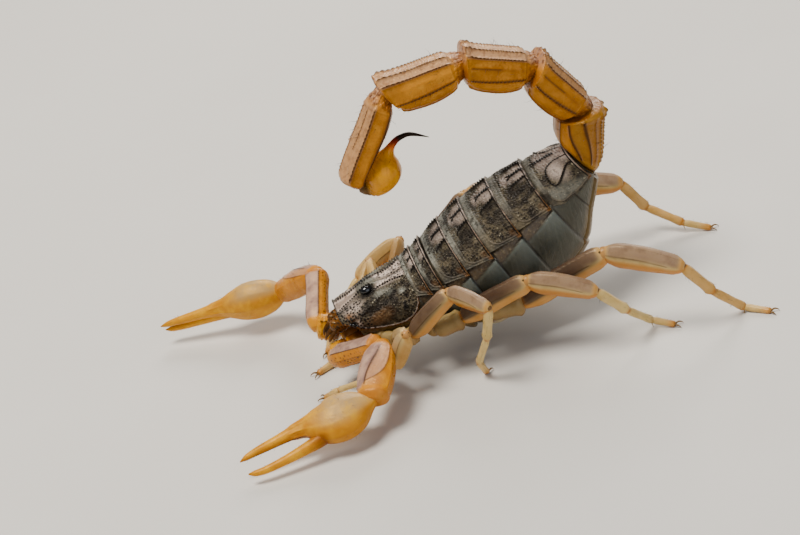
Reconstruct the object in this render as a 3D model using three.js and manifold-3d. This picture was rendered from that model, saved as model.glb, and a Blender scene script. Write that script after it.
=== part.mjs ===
// A common yellow scorpion, a well-fed female in the threat posture, at life size.
// Millimetres, +Z up. The head looks along -Y, the animal's left side is +X, and the
// floor is Z = 0. Every plate, tail length, eye and limb length is a body of its own.
import * as THREE from 'three';
import { mergeVertices } from 'three/addons/utils/BufferGeometryUtils.js';
import Module from 'manifold-3d';

const wasm = await Module();
wasm.setup();

// ---------------------------------------------------------------- driving dimensions
const GAP = 0.06; // clearance between neighbouring bodies
const SIDES = 26; // facets round the trunk
const STEP = (2 * Math.PI) / SIDES;
const TERGITE_REACH = 5; // facets a back plate covers on each side of the midline
const STERNITE_REACH = 4; // facets a belly plate covers on each side of the midline
const CARAPACE_REACH = 6;
const PLATE = 0.5; // thickness of a shell plate
const LIP = 0.22; // how far the rear rim of a back plate stands proud
const TOP_SHARE = 0.43; // share of the trunk's depth above its widest level
const TOP_POWER = 0.8; // squareness of the back, 1 is an ellipse
const BELLY_POWER = 0.92; // squareness of the belly
const DEG = Math.PI / 180;

// Trunk sections from the brow to the tail root. y, z: the crown of the back on the
// midline; tilt: lean of the section; half: half width; depth: crown to belly.
const SECTIONS = [
  { y: -4.0, z: 7.8, tilt: 15.5, half: 2.55, depth: 3.4 },
  { y: -2.4, z: 8.35, tilt: 15.5, half: 3.05, depth: 4.3 },
  { y: 0.1, z: 9.0, tilt: 15.5, half: 3.75, depth: 5.4 },
  { y: 2.2, z: 9.5, tilt: 15.5, half: 4.25, depth: 6.4 },
  { y: 3.75, z: 9.92, tilt: 16, half: 4.55, depth: 7.3 },
  { y: 5.1, z: 10.5, tilt: 17, half: 4.95, depth: 8.6 },
  { y: 6.42, z: 11.2, tilt: 18, half: 5.4, depth: 9.8 },
  { y: 8.61, z: 12.4, tilt: 19.5, half: 5.9, depth: 11.2 },
  { y: 11.28, z: 13.78, tilt: 21, half: 6.1, depth: 12.3 },
  { y: 14.36, z: 14.96, tilt: 22, half: 5.9, depth: 12.2 },
  { y: 18.26, z: 15.86, tilt: 24, half: 5.1, depth: 10.1 },
  { y: 20.5, z: 16.3, tilt: 28, half: 4.0, depth: 7.0 },
  { y: 22.7, z: 16.5, tilt: 34, half: 2.5, depth: 4.2 },
];
const CARAPACE_END = 4; // section where the carapace ends and the first back plate starts

// Tail lengths from the trunk outwards: length, pitch in the midline plane, half width,
// and the reach of the outer and the inner face from the axis.
const TAIL = [
  { length: 5.85, pitch: 77, half: 2.5, outer: 2.15, inner: 2.55 },
  { length: 6.9, pitch: 122, half: 2.4, outer: 1.85, inner: 2.2 },
  { length: 7.1, pitch: 157.5, half: 2.3, outer: 1.95, inner: 2.15 },
  { length: 7.9, pitch: 183, half: 2.1, outer: 1.85, inner: 2.15 },
  { length: 9.9, pitch: 236, half: 1.95, outer: 1.75, inner: 1.6 },
];
const TAIL_SIDES = 12;

// Legs, front to rear: lengths of trochanter, femur, patella, tibia, basitarsus and
// tarsus, half thickness at the femur, and for each side the hip and the joint angles.
// Yaw turns from the outward side towards the tail; pitch is up from level. The tarsus
// takes the pitch that brings its tip to the floor.
const LEGS = [
  {
    lengths: [1.8, 4.7, 4.6, 3.6, 3.4, 2.0],
    thick: 0.72,
    left: { hip: [3.4, -0.2, 4.6], yaw: [38, 11, -133, -112, -118, -121], pitch: [6, 31, -59, -19, -16] },
    right: { hip: [3.4, -0.2, 4.6], yaw: [38, 4, -138, -140, -128, -112], pitch: [6, 18, -40, -36, -12] },
  },
  {
    lengths: [2.1, 6.2, 5.7, 3.9, 4.0, 2.2],
    thick: 0.82,
    left: { hip: [4.5, 1.5, 4.2], yaw: [35, 72, 31, -136, -144, 151], pitch: [34, 40, -2, -70, -57] },
    right: { hip: [4.4, 1.3, 4.1], yaw: [30, 25, -92, -110, -150, -160], pitch: [10, 17, -25, -40, -10] },
  },
  {
    lengths: [2.9, 8.0, 6.9, 4.0, 4.0, 2.4],
    thick: 0.92,
    left: { hip: [5.5, 4.9, 4.9], yaw: [74, 71, 62, 90, 125, 60], pitch: [14, 22, -14, -52, -46] },
    right: { hip: [5.4, 3.9, 5.0], yaw: [62, 68, 66, 60, 45, 42], pitch: [27, 29, -24, -72, -36] },
  },
  {
    lengths: [3.8, 9.9, 7.8, 4.3, 4.2, 2.9],
    thick: 1.0,
    left: { hip: [5.9, 10.2, 5.3], yaw: [73, 73, 62, 87, 101, 48], pitch: [2, 23.6, -15.7, -58, -49] },
    right: { hip: [5.7, 7.8, 5.3], yaw: [68, 84, 94, 80, 126, 118], pitch: [0, 20, -14, -62, -27] },
  },
];
const FOOT = 0.3; // half thickness at the tip of a tarsus

// Pedipalps: joints of coxa, trochanter, femur and patella, then the hand's direction,
// how far the fingers open, and how far patella and palm swell to the outer side.
const PEDIPALPS = {
  left: {
    coxa: [1.6, -1.6, 4.2],
    trochanter: [1.75, -3.6, 3.7],
    elbow1: [1.8, -5.6, 3.4],
    elbow2: [6.1, -1.05, 5.6],
    wrist: [12.6, -3.7, 3.8],
    tip: [13.5, -17.4, 1.7],
    spread: [0.86, 0, -0.5],
    open: 1,
    bow: [0.1, 0.26, 0],
    plump: 0.35,
  },
  right: {
    coxa: [-1.6, -1.6, 4.2],
    trochanter: [-2.0, -4.0, 4.4],
    elbow1: [-2.45, -6.1, 5.0],
    elbow2: [-8.35, -4.3, 7.6],
    wrist: [-13.45, -8.0, 4.1],
    tip: [-17.7, -21.3, 2.1],
    spread: [-0.3, 0.3, -0.9],
    open: 0.45,
    bow: [0, 0, 0],
    plump: 0,
  },
};

// ---------------------------------------------------------------- colours
const LOOKS = {
  shell: { color: 0x4d463c, roughness: 0.6 },
  membrane: { color: 0x77796a, roughness: 0.55 },
  belly: { color: 0x8c7f4e, roughness: 0.5 },
  amber: { color: 0xb9782c, roughness: 0.45 },
  straw: { color: 0xd3b063, roughness: 0.5 },
  eye: { color: 0x08080a, roughness: 0.08 },
  venom: { color: 0xd28a1c, roughness: 0.3 },
  sting: { color: 0x2a0f08, roughness: 0.25 },
};
const parts = [];

function put(name, geometry, look) {
  parts.push({ name, geometry, look });
}

// ---------------------------------------------------------------- helpers
const vec = (x, y, z) => new THREE.Vector3(x, y, z);
const lerp = THREE.MathUtils.lerp;

// Welds a warped primitive and turns its faces outwards.
function closed(geometry) {
  geometry.deleteAttribute('normal');
  geometry.deleteAttribute('uv');
  const body = mergeVertices(geometry, 1e-5);
  const p = body.attributes.position;
  const index = body.index.array;
  const kept = [];
  let volume = 0;
  const a = vec(0, 0, 0);
  const b = vec(0, 0, 0);
  const c = vec(0, 0, 0);
  for (let i = 0; i < index.length; i += 3) {
    if (index[i] === index[i + 1] || index[i + 1] === index[i + 2] || index[i] === index[i + 2]) continue;
    kept.push(index[i], index[i + 1], index[i + 2]);
    a.fromBufferAttribute(p, index[i]);
    b.fromBufferAttribute(p, index[i + 1]);
    c.fromBufferAttribute(p, index[i + 2]);
    volume += a.dot(b.cross(c));
  }
  if (volume < 0) {
    for (let i = 0; i < kept.length; i += 3) [kept[i], kept[i + 1]] = [kept[i + 1], kept[i]];
  }
  body.setIndex(kept);
  return body;
}

// A closed sleeve: a cylinder whose rows and angles are carried to at(row, angle, r).
// r is 1 on the wall and 0 at the centre of an end cap.
function sleeve(sides, rows, at) {
  const g = new THREE.CylinderGeometry(1, 1, 1, sides, rows);
  const p = g.attributes.position;
  for (let i = 0; i < p.count; i += 1) {
    const r = Math.round(Math.hypot(p.getX(i), p.getZ(i)));
    const k = Math.round((Math.atan2(p.getX(i), p.getZ(i)) / (2 * Math.PI)) * sides);
    const angle = (((k + sides) % sides) * 2 * Math.PI) / sides;
    const q = at((0.5 - p.getY(i)) * rows, angle, r);
    p.setXYZ(i, q.x, q.y, q.z);
  }
  return closed(g);
}

// A closed slab: a box whose width, height and thickness are carried to at(u, v, w),
// each from 0 to 1.
function slab(across, along, at) {
  const g = new THREE.BoxGeometry(1, 1, 1, across, along, 1);
  const p = g.attributes.position;
  for (let i = 0; i < p.count; i += 1) {
    const q = at(p.getX(i) + 0.5, p.getY(i) + 0.5, p.getZ(i) + 0.5);
    p.setXYZ(i, q.x, q.y, q.z);
  }
  return closed(g);
}

// A sleeve through rings {at, side, up}: centre and the two half axes.
function tube(rings, sides) {
  return sleeve(sides, rings.length - 1, (row, angle, r) => {
    const ring = rings[Math.round(row)];
    return ring.at
      .clone()
      .addScaledVector(ring.side, r * Math.sin(angle))
      .addScaledVector(ring.up, r * Math.cos(angle));
  });
}

// One limb length from a to b. profile: [share of length, half width, half height].
function rod(a, b, hint, profile, sides) {
  const along = b.clone().sub(a);
  const axis = along.clone().normalize();
  const side = axis.clone().cross(hint).normalize();
  const up = side.clone().cross(axis);
  const rings = profile.map(([t, wide, high]) => ({
    at: a.clone().addScaledVector(along, t),
    side: side.clone().multiplyScalar(wide),
    up: up.clone().multiplyScalar(high),
  }));
  return tube(rings, sides);
}

// A tapered horn along a smooth curve through points, radii from the first to the last.
function horn(points, radii, rows, sides, hint) {
  const curve = new THREE.CatmullRomCurve3(points, false, 'catmullrom', 0.5);
  const rings = [];
  for (let i = 0; i <= rows; i += 1) {
    const t = i / rows;
    const axis = curve.getTangent(t);
    const side = axis.clone().cross(hint).normalize();
    const up = side.clone().cross(axis);
    const span = t * (radii.length - 1);
    const k = Math.min(radii.length - 2, Math.floor(span));
    const r = lerp(radii[k], radii[k + 1], span - k);
    rings.push({ at: curve.getPoint(t), side: side.multiplyScalar(r), up: up.multiplyScalar(r) });
  }
  return tube(rings, sides);
}

function solid(geometry) {
  const mesh = new wasm.Mesh({
    numProp: 3,
    vertProperties: new Float32Array(geometry.attributes.position.array),
    triVerts: new Uint32Array(geometry.index.array),
  });
  return new wasm.Manifold(mesh);
}

function shown(body) {
  const mesh = body.getMesh();
  const g = new THREE.BufferGeometry();
  g.setAttribute('position', new THREE.BufferAttribute(new Float32Array(mesh.vertProperties), 3));
  g.setIndex(new THREE.BufferAttribute(new Uint32Array(mesh.triVerts), 1));
  return g;
}

function joined(geometries) {
  return geometries.map(solid).reduce((sum, next) => sum.add(next));
}

// ---------------------------------------------------------------- trunk
// Section at a real-valued station, straight between its two neighbours.
function section(s) {
  const k = Math.min(SECTIONS.length - 2, Math.max(0, Math.floor(s)));
  const t = s - k;
  const a = SECTIONS[k];
  const b = SECTIONS[k + 1];
  const out = {};
  for (const key of Object.keys(a)) out[key] = lerp(a[key], b[key], t);
  return out;
}

// Point of the trunk at station s and angle from the crown, sunk below the surface.
function trunkPoint(s, angle, sunk) {
  const { y, z, tilt, half, depth } = section(s);
  const top = depth * TOP_SHARE;
  const under = depth - top;
  const c = Math.cos(angle);
  const n = Math.sin(angle);
  const power = c > 0 ? TOP_POWER : BELLY_POWER;
  const reach = c > 0 ? top : under;
  const across = Math.sign(n) * Math.abs(n) ** power * (half - sunk);
  const rise = Math.sign(c) * Math.abs(c) ** power * (reach - sunk);
  const down = top - rise;
  const lean = tilt * DEG;
  return vec(across, y + down * Math.sin(lean), z - down * Math.cos(lean));
}

function facetsFromCrown(angle) {
  const k = Math.round(angle / STEP);
  return Math.min(k, SIDES - k);
}

// The flesh between the plates, from station s0 to s1.
function flesh(s0, s1, topReach, bellyReach, grow = 0) {
  const stations = [s0];
  for (let k = Math.floor(s0) + 1; k < s1 - 0.05; k += 1) {
    if (k > s0 + 0.05) stations.push(k);
  }
  stations.push(s1);
  return sleeve(SIDES, stations.length - 1, (row, angle, r) => {
    const s = stations[Math.round(row)];
    const k = facetsFromCrown(angle);
    const plated = k <= topReach || k >= SIDES / 2 - bellyReach;
    const wall = trunkPoint(s, angle, (plated ? PLATE + 2 * GAP : 0) - grow);
    if (r === 1) return wall;
    const across = trunkPoint(s, 0, 0).add(trunkPoint(s, Math.PI, 0)).multiplyScalar(0.5);
    return across;
  });
}

// A shell plate through a list of stations, reach facets each side of the crown or belly line.
function plate(stations, reach, below, lift) {
  const rows = stations.length - 1;
  return slab(2 * reach, rows, (u, v, w) => {
    const middle = below ? Math.PI : 0;
    const angle = middle + (u - 0.5) * 2 * reach * STEP;
    const s = stations[Math.round(v * rows)];
    const sunk = lerp(PLATE, -lift(u, v), w);
    return trunkPoint(s, angle, sunk);
  });
}

const rim = (u, v) => LIP * v * v;
const HEAD_FRONT = 0.75; // station of the front face of the flesh
const EYE = { s: 1.8, across: 0.72, radius: 0.52 };

// Low mound that carries the two median eyes, and the sloping brow.
function brow(u, v) {
  const a = (u - 0.5) / 0.16;
  const b = (v - 0.55) / 0.28;
  return 0.05 + 0.5 * Math.exp(-(a * a) - b * b);
}

const eyes = [-1, 1].map((side) => {
  const seat = trunkPoint(EYE.s, side * STEP, -0.3);
  seat.x = side * EYE.across;
  return { side, seat };
});

const BROW_ROWS = [0, 0.6, 1, 1.5, 2, 2.5, CARAPACE_END - 0.04];
let carapace = solid(plate(BROW_ROWS, CARAPACE_REACH, false, brow));
for (const { side, seat } of eyes) {
  const ball = (r) => closed(new THREE.SphereGeometry(r, 10, 6)).translate(seat.x, seat.y, seat.z);
  const dome = solid(ball(EYE.radius));
  carapace = carapace.subtract(solid(ball(EYE.radius + GAP)));
  put(`median_eye_${side > 0 ? 'left' : 'right'}`, shown(dome), 'eye');
}
put('carapace', shown(carapace), 'shell');
put('prosoma_body', flesh(HEAD_FRONT, CARAPACE_END - 0.02, CARAPACE_REACH, 0), 'belly');
put('trunk_body', flesh(CARAPACE_END + 0.04, 11.9, TERGITE_REACH, STERNITE_REACH), 'membrane');

for (let i = 0; i < 7; i += 1) {
  const start = CARAPACE_END + i;
  const stations = i < 6 ? [start + 0.03, start + 0.98] : [10.03, 11, 11.95];
  put(`back_plate_${i + 1}`, plate(stations, TERGITE_REACH, false, rim), 'shell');
}
for (let i = 0; i < 5; i += 1) {
  const start = 6 + i;
  const stations = i < 4 ? [start + 0.02, start + 0.98] : [10.02, 11, 11.9];
  put(`belly_plate_${i + 1}`, plate(stations, STERNITE_REACH, true, () => 0.03), 'belly');
}

// The room the trunk takes, a gap larger than its skin; limbs are cut clear of it.
const trunkRoom = solid(
  sleeve(SIDES, SECTIONS.length - 1, (row, angle, r) => {
    const wall = trunkPoint(Math.round(row), angle, -GAP);
    const middle = trunkPoint(Math.round(row), 0, 0).add(trunkPoint(Math.round(row), Math.PI, 0));
    return r === 1 ? wall : middle.multiplyScalar(0.5);
  })
);

// ---------------------------------------------------------------- mouth parts
const headRoom = solid(flesh(HEAD_FRONT - 0.04, CARAPACE_END, CARAPACE_REACH, 0, GAP));
const browRoom = solid(
  slab(2 * CARAPACE_REACH, BROW_ROWS.length - 1, (u, v, w) => {
    const row = BROW_ROWS[Math.round(v * (BROW_ROWS.length - 1))];
    return trunkPoint(row, (u - 0.5) * 2 * CARAPACE_REACH * STEP, lerp(PLATE + GAP, -1, w));
  })
);
for (const side of [-1, 1]) {
  const label = side > 0 ? 'left' : 'right';
  const a = vec(side * 0.71, -2.4, 6.72);
  const b = vec(side * 0.67, -4.75, 5.95);
  const profile = [
    [0, 0.5, 0.6],
    [0.25, 0.68, 0.85],
    [0.7, 0.64, 0.8],
    [1, 0.35, 0.45],
  ];
  const jaw = solid(rod(a, b, vec(0, 0, 1), profile, 8));
  put(`chelicera_${label}`, jaw.subtract(headRoom).subtract(browRoom), 'straw');
}

// ---------------------------------------------------------------- tail
const tailBodies = [];
const root = trunkPoint(12, 0, 0).add(trunkPoint(12, Math.PI, 0)).multiplyScalar(0.5);
let joint = root.clone();
const joints = [joint.clone()];
for (const { length, pitch } of TAIL) {
  joint = joint.clone().add(vec(0, Math.cos(pitch * DEG), Math.sin(pitch * DEG)).multiplyScalar(length));
  joints.push(joint);
}
const SHAPE = [
  [0, 0.62, 0.62, 0.5],
  [0.1, 0.86, 0.86, 0.74],
  [0.3, 0.97, 0.95, 0.94],
  [0.6, 1, 1, 1],
  [0.86, 1, 1.04, 0.86],
  [1, 0.74, 0.78, 0.56],
];
const FIRST = [
  [0, 0.8, 0.85, 0.6],
  [0.14, 0.9, 0.92, 0.68],
  [0.36, 0.98, 0.96, 0.88],
  [0.62, 1, 1, 1],
  [0.86, 1, 1.0, 0.98],
  [1, 0.74, 0.78, 0.66],
];
const LAST = [
  [0, 0.62, 0.66, 0.6],
  [0.1, 0.86, 0.9, 0.95],
  [0.3, 1, 1, 1],
  [0.6, 1, 1.04, 0.78],
  [0.86, 0.92, 1, 0.5],
  [1, 0.7, 0.7, 0.3],
];
const ROOT_LEAN = 34; // pitch of the trunk's end section
const TURN_IN = [0, 0.3, 0.75, 1, 1, 1]; // how fast the first length turns to its own pitch
const SPAN = TAIL.map(({ pitch }) => pitch);
for (let i = 0; i < TAIL.length; i += 1) {
  const { half, outer, inner, pitch } = TAIL[i];
  const before = i === 0 ? pitch : SPAN[i - 1];
  const after = i === TAIL.length - 1 ? pitch : SPAN[i + 1];
  const start = (before + pitch) / 2;
  const end = (pitch + after) / 2;
  let shape = SHAPE;
  if (i === 0) shape = FIRST;
  if (i === TAIL.length - 1) shape = LAST;
  const body = sleeve(TAIL_SIDES, shape.length - 1, (row, angle, r) => {
    const [t, w, o, n] = shape[Math.round(row)];
    let lean = i === 0 ? lerp(ROOT_LEAN, pitch, TURN_IN[Math.round(row)]) : pitch;
    if (row < 0.5 && i > 0) lean = start;
    if (row > shape.length - 1.5) lean = end;
    const flat = vec(0, Math.cos(lean * DEG), Math.sin(lean * DEG));
    const out = vec(0, Math.sin(lean * DEG), -Math.cos(lean * DEG)); // away from the arch
    const centre = joints[i].clone().lerp(joints[i + 1], t);
    if (row < 0.5) centre.addScaledVector(flat, GAP / 2);
    if (row > shape.length - 1.5) centre.addScaledVector(flat, -GAP / 2);
    const s = Math.sin(angle);
    const c = Math.cos(angle);
    const reach = c > 0 ? outer * o : inner * n;
    return centre
      .add(vec(r * half * w * Math.sign(s) * Math.abs(s) ** 0.85, 0, 0))
      .addScaledVector(out, r * reach * Math.sign(c) * Math.abs(c) ** 0.85);
  });
  tailBodies.push(body);
}

// Sting: a bulb on a short neck, and a curved point.
const knuckle = joints[5];
const BULB = { rise: 56, long: 2.35, wide: 1.75, deep: 1.8 };
const bulbAt = vec(0, knuckle.y + 3.25, knuckle.z + 0.55);
const bulbBody = (grow) =>
  closed(new THREE.SphereGeometry(1, 12, 8))
    .scale(BULB.wide + grow, BULB.long + grow, BULB.deep + grow)
    .rotateX(BULB.rise * DEG)
    .translate(bulbAt.x, bulbAt.y, bulbAt.z);
const neckBody = (grow) => {
  const profile = [
    [0, 0.6 + grow, 0.7 + grow],
    [0.4, 0.8 + grow, 0.95 + grow],
    [1, 0.8 + grow, 0.95 + grow],
  ];
  return rod(vec(0, knuckle.y + 0.7 - grow, knuckle.z - 0.3), bulbAt, vec(1, 0, 0), profile, 10);
};
const stingRoom = joined([bulbBody(GAP + 0.03), neckBody(GAP + 0.03)]);
tailBodies.forEach((body, i) => {
  const cut = i === 4 ? solid(body).subtract(stingRoom) : body;
  put(`tail_length_${i + 1}`, cut, 'amber');
});
const point = horn(
  [
    vec(0, bulbAt.y + 0.6, bulbAt.z + 1.4),
    vec(0, bulbAt.y + 1.45, bulbAt.z + 2.15),
    vec(0, bulbAt.y + 2.5, bulbAt.z + 2.7),
    vec(0, bulbAt.y + 3.65, bulbAt.z + 2.65),
    vec(0, bulbAt.y + 5.2, bulbAt.z + 1.7),
  ],
  [0.85, 0.55, 0.4, 0.34, 0.26],
  10,
  8,
  vec(1, 0, 0)
);
const cutAt = bulbAt.clone().add(vec(0, 1.3, 2.05));
const cutNormal = vec(0, 0.62, 0.785);
const halfSpace = (offset) => {
  const block = new THREE.BoxGeometry(12, 12, 12);
  block.translate(0, 0, 6);
  const turn = new THREE.Quaternion().setFromUnitVectors(vec(0, 0, 1), cutNormal);
  block.applyQuaternion(turn);
  const place = cutAt.clone().addScaledVector(cutNormal, offset);
  return solid(closed(block.translate(place.x, place.y, place.z)));
};
put('sting_bulb', shown(joined([bulbBody(0), neckBody(0), point]).subtract(halfSpace(-GAP / 2))), 'venom');
put('sting_point', shown(solid(point).intersect(halfSpace(GAP / 2))), 'sting');

// ---------------------------------------------------------------- legs
const floorBlock = closed(new THREE.BoxGeometry(120, 120, 10).translate(0, 0, -5));
const LIMB_NAMES = ['front', 'second', 'third', 'rear'];
const BODY_PROFILE = (w, h, end = 1.03) => [
  [-0.05, 0.5 * w, 0.5 * h],
  [0.1, 0.95 * w, 0.92 * h],
  [0.8, 0.98 * w, 0.98 * h],
  [end, 0.55 * w, 0.55 * h],
];

function legJoints(lengths, pose, sign) {
  const list = [vec(sign * pose.hip[0], pose.hip[1], pose.hip[2])];
  for (let i = 0; i < 6; i += 1) {
    const from = list[i];
    const drop = i < 5 ? Math.sin(pose.pitch[i] * DEG) : -(from.z - FOOT + 0.06) / lengths[i];
    const level = Math.sqrt(1 - drop * drop);
    const yaw = pose.yaw[i] * DEG;
    const step = vec(sign * Math.cos(yaw) * level, Math.sin(yaw) * level, drop);
    list.push(from.clone().addScaledVector(step, lengths[i]));
  }
  return list;
}

// Tibia, basitarsus and tarsus in one sleeve that turns the corners at the joints.
function shinTube(p, shapes, grow = 0) {
  const stops = [
    [3, -0.05 - grow * 0.3, 0.55, 3],
    [3, 0.14, 1, 3],
    [3, 0.85, 0.95, 3],
    [4, 0.08, 1, 4],
    [4, 0.9, 0.95, 4],
    [5, 0.15, 1, 5],
    [5, 0.85, 0.95, 5],
    [5, 1.1, 0.75, 5],
  ];
  const rings = stops.map(([k, t, size, m]) => {
    const along = p[k + 1].clone().sub(p[k]);
    const axis = along.clone().normalize();
    const side = axis.clone().cross(vec(0, 0, 1)).normalize();
    const up = side.clone().cross(axis);
    const [w, h] = shapes[m];
    return {
      at: p[k].clone().addScaledVector(along, t),
      side: side.multiplyScalar(w * size * 1.06 + grow),
      up: up.multiplyScalar(h * size * 1.06 + grow),
    };
  });
  return tube(rings, 6);
}

const legRoom = {};
const frontRoom = {};
LEGS.forEach(({ lengths, thick, left, right }, i) => {
  for (const [label, pose, sign] of [['left', left, 1], ['right', right, -1]]) {
    const p = legJoints(lengths, pose, sign);
    const up = vec(0, 0, 1);
    const shapes = [
      [thick * 0.95, thick * 1.05],
      [thick * 0.8, thick * 1.2],
      [thick * 0.78, thick * 1.25],
      [thick * 0.6, thick * 0.68],
      [thick * 0.48, thick * 0.52],
      [0.34, 0.36],
    ];
    const upper = (k, grow, end) => {
      const [w, h] = shapes[k];
      return rod(p[k], p[k + 1], up, BODY_PROFILE(w + grow, h + grow, end), k === 0 ? 6 : 8);
    };
    const rods = [upper(0, 0, 1.03), upper(1, 0, 1.03), upper(2, 0, 0.99)];
    // a coxa runs in under the head shield; the upper limb is cut clear of the trunk,
    // of the leg in front, and of the shin at the patella's end
    const inner = vec(sign * 1.4, p[0].y - 0.8, p[0].z + 0.3);
    const coxa = rod(inner, p[0], up, BODY_PROFILE(thick, thick * 1.1), 6);
    const shin = solid(shinTube(p, shapes)).subtract(solid(floorBlock));
    const socket = solid(shinTube(p, shapes, 1.3 * GAP));
    let thigh = joined([coxa, ...rods]).subtract(socket).subtract(trunkRoom);
    if (legRoom[label]) thigh = thigh.subtract(legRoom[label]);
    const wide = 1.3 * GAP;
    const roomyCoxa = rod(inner, p[0], up, BODY_PROFILE(thick + wide, thick * 1.1 + wide), 6);
    legRoom[label] = joined([roomyCoxa, upper(0, wide, 1.03), upper(1, wide, 1.03)]);
    if (i === 0) frontRoom[label] = joined([roomyCoxa, ...[0, 1, 2].map((k) => upper(k, wide, 1.03))]);
    put(`${LIMB_NAMES[i]}_leg_${label}_upper`, thigh, 'straw');
    put(`${LIMB_NAMES[i]}_leg_${label}_lower`, shin, 'straw');
  }
});

// ---------------------------------------------------------------- pedipalps
const at = (list) => vec(...list);
for (const [label, limb] of Object.entries(PEDIPALPS)) {
  const up = vec(0, 0, 1);
  const base = joined([
    rod(at(limb.coxa), at(limb.trochanter), up, BODY_PROFILE(1.0, 1.25), 8),
    rod(at(limb.trochanter), at(limb.elbow1), up, BODY_PROFILE(1.05, 1.2), 8),
  ]);
  const femur = (g) => rod(at(limb.elbow1), at(limb.elbow2), up, BODY_PROFILE(1.15 + g, 1.15 + g), 8);
  const bow = at(limb.bow);
  const patella = (g) => {
    const profile = BODY_PROFILE(1.5 + bow.length() + g, 1.4 + g);
    return rod(at(limb.elbow2).add(bow), at(limb.wrist).add(bow), up, profile, 8);
  };
  const reach = at(limb.tip).sub(at(limb.wrist));
  const length = reach.length();
  const axis = reach.clone().normalize();
  const spread = at(limb.spread).normalize();
  spread.addScaledVector(axis, -spread.dot(axis)).normalize();
  const thick = axis.clone().cross(spread);
  const spot = (along, across) =>
    at(limb.wrist).addScaledVector(axis, along * length).addScaledVector(spread, across * limb.open);
  const palmRoot = at(limb.wrist).addScaledVector(spread, limb.plump);
  const palmEnd = spot(0.56, 0).addScaledVector(spread, 0.5 * limb.plump);
  const palm = (g) =>
    rod(palmRoot, palmEnd, thick, [
      [-0.02, 0.8 + g, 0.75 + g],
      [0.14, 1.75 + limb.plump + g, 1.35 + g],
      [0.42, 2.3 + limb.plump + g, 1.75 + g],
      [0.72, 2.05 + 0.6 * limb.plump + g, 1.55 + g],
      [0.9, 1.5, 1.2],
      [1.02, 1.0, 0.85],
    ], 10);
  const fixed = horn(
    [spot(0.4, -0.9), spot(0.6, -0.95), spot(0.8, -1.05), spot(0.95, -0.95), spot(1.0, -0.75)],
    [0.9, 0.72, 0.52, 0.42, 0.28], 6, 7, thick);
  const moving = (g) =>
    horn([spot(0.4, 1.2), spot(0.56, 1.5), spot(0.76, 1.55), spot(0.93, 1.25), spot(0.985, 0.95)],
      [0.85 + g, 0.72 + g, 0.52 + g, 0.42 + g, 0.28 + g], 6, 7, thick);
  const cut = (body, other) => body.subtract(solid(other));
  const wide = 1.3 * GAP;
  const hip = base.subtract(trunkRoom).subtract(frontRoom[label]);
  put(`pedipalp_${label}_base`, cut(hip, femur(wide)), 'amber');
  put(`pedipalp_${label}_femur`, cut(solid(femur(0)), patella(wide)), 'amber');
  const forearm = solid(patella(0)).subtract(frontRoom[label]);
  put(`pedipalp_${label}_patella`, cut(forearm, palm(wide)), 'amber');
  put(`pedipalp_${label}_hand`, cut(joined([palm(0), fixed]), moving(wide)), 'amber');
  put(`pedipalp_${label}_finger`, solid(moving(0)), 'amber');
}

// ---------------------------------------------------------------- pectines
// The two sense combs lie under the belly behind the last legs, swept outwards and back.
const COMB = { start: 5.9, sweep: 1.0, width: 0.42, thickness: 0.5, clear: 0.12, from: 0.35, to: 3.1 };
for (const side of [-1, 1]) {
  const comb = slab(1, 7, (u, v, w) => {
    const s = COMB.start + COMB.sweep * v + u * COMB.width * (1 - 0.5 * v * v);
    const angle = Math.PI - side * STEP * lerp(COMB.from, COMB.to, v);
    return trunkPoint(s, angle, -COMB.clear - COMB.thickness * (side > 0 ? 1 - w : w));
  });
  put(`pectine_${side > 0 ? 'left' : 'right'}`, comb, 'straw');
}

// ---------------------------------------------------------------- fitting and output
// The model stands with its lowest point on the floor and its box centred on the origin.
const group = new THREE.Group();
group.name = 'scorpion';
for (const { name, geometry, look } of parts) {
  const g = geometry.getMesh ? shown(geometry) : geometry;
  const paint = new THREE.MeshStandardMaterial({ ...LOOKS[look], metalness: 0 });
  const mesh = new THREE.Mesh(g, paint);
  mesh.name = name;
  group.add(mesh);
}
const box = new THREE.Box3().setFromObject(group);
const middle = box.getCenter(vec(0, 0, 0));
for (const mesh of group.children) mesh.position.set(-middle.x, -middle.y, -box.min.z);

export default group;
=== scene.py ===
"""A common yellow scorpion in its threat posture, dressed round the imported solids.

Every surface is worked out with numpy in the animal's own millimetres (midline x = 0,
head towards -Y, left side +X, floor z = 0) and then moved into the frame. A sleeve is a
ring carried along a path; a plate is an outer and an inner grid joined round the border.
Each point also carries marks (ridge, rim, tone, grain, low) that the finishes read.
"""

import functools
import math

import bpy
import numpy as np
from mathutils import Matrix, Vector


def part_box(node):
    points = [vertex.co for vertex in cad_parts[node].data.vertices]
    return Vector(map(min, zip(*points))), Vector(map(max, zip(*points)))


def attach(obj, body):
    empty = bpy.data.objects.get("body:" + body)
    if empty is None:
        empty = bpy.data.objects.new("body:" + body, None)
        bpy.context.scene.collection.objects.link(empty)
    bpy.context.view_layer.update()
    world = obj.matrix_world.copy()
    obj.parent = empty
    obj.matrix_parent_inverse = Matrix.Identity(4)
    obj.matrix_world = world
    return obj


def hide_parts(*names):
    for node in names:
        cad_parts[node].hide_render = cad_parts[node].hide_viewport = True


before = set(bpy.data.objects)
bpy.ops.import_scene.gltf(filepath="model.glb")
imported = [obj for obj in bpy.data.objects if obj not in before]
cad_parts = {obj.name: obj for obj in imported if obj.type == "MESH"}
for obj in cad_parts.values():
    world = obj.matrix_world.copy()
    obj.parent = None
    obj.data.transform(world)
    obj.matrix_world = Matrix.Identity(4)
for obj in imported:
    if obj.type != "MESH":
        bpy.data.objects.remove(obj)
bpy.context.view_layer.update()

# ------------------------------------------------------------------ driving sizes (mm)
MM = 0.001
TOP_SHARE = 0.43       # share of the trunk's depth above its widest level
TOP_POWER = 0.8        # squareness of the back
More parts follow.
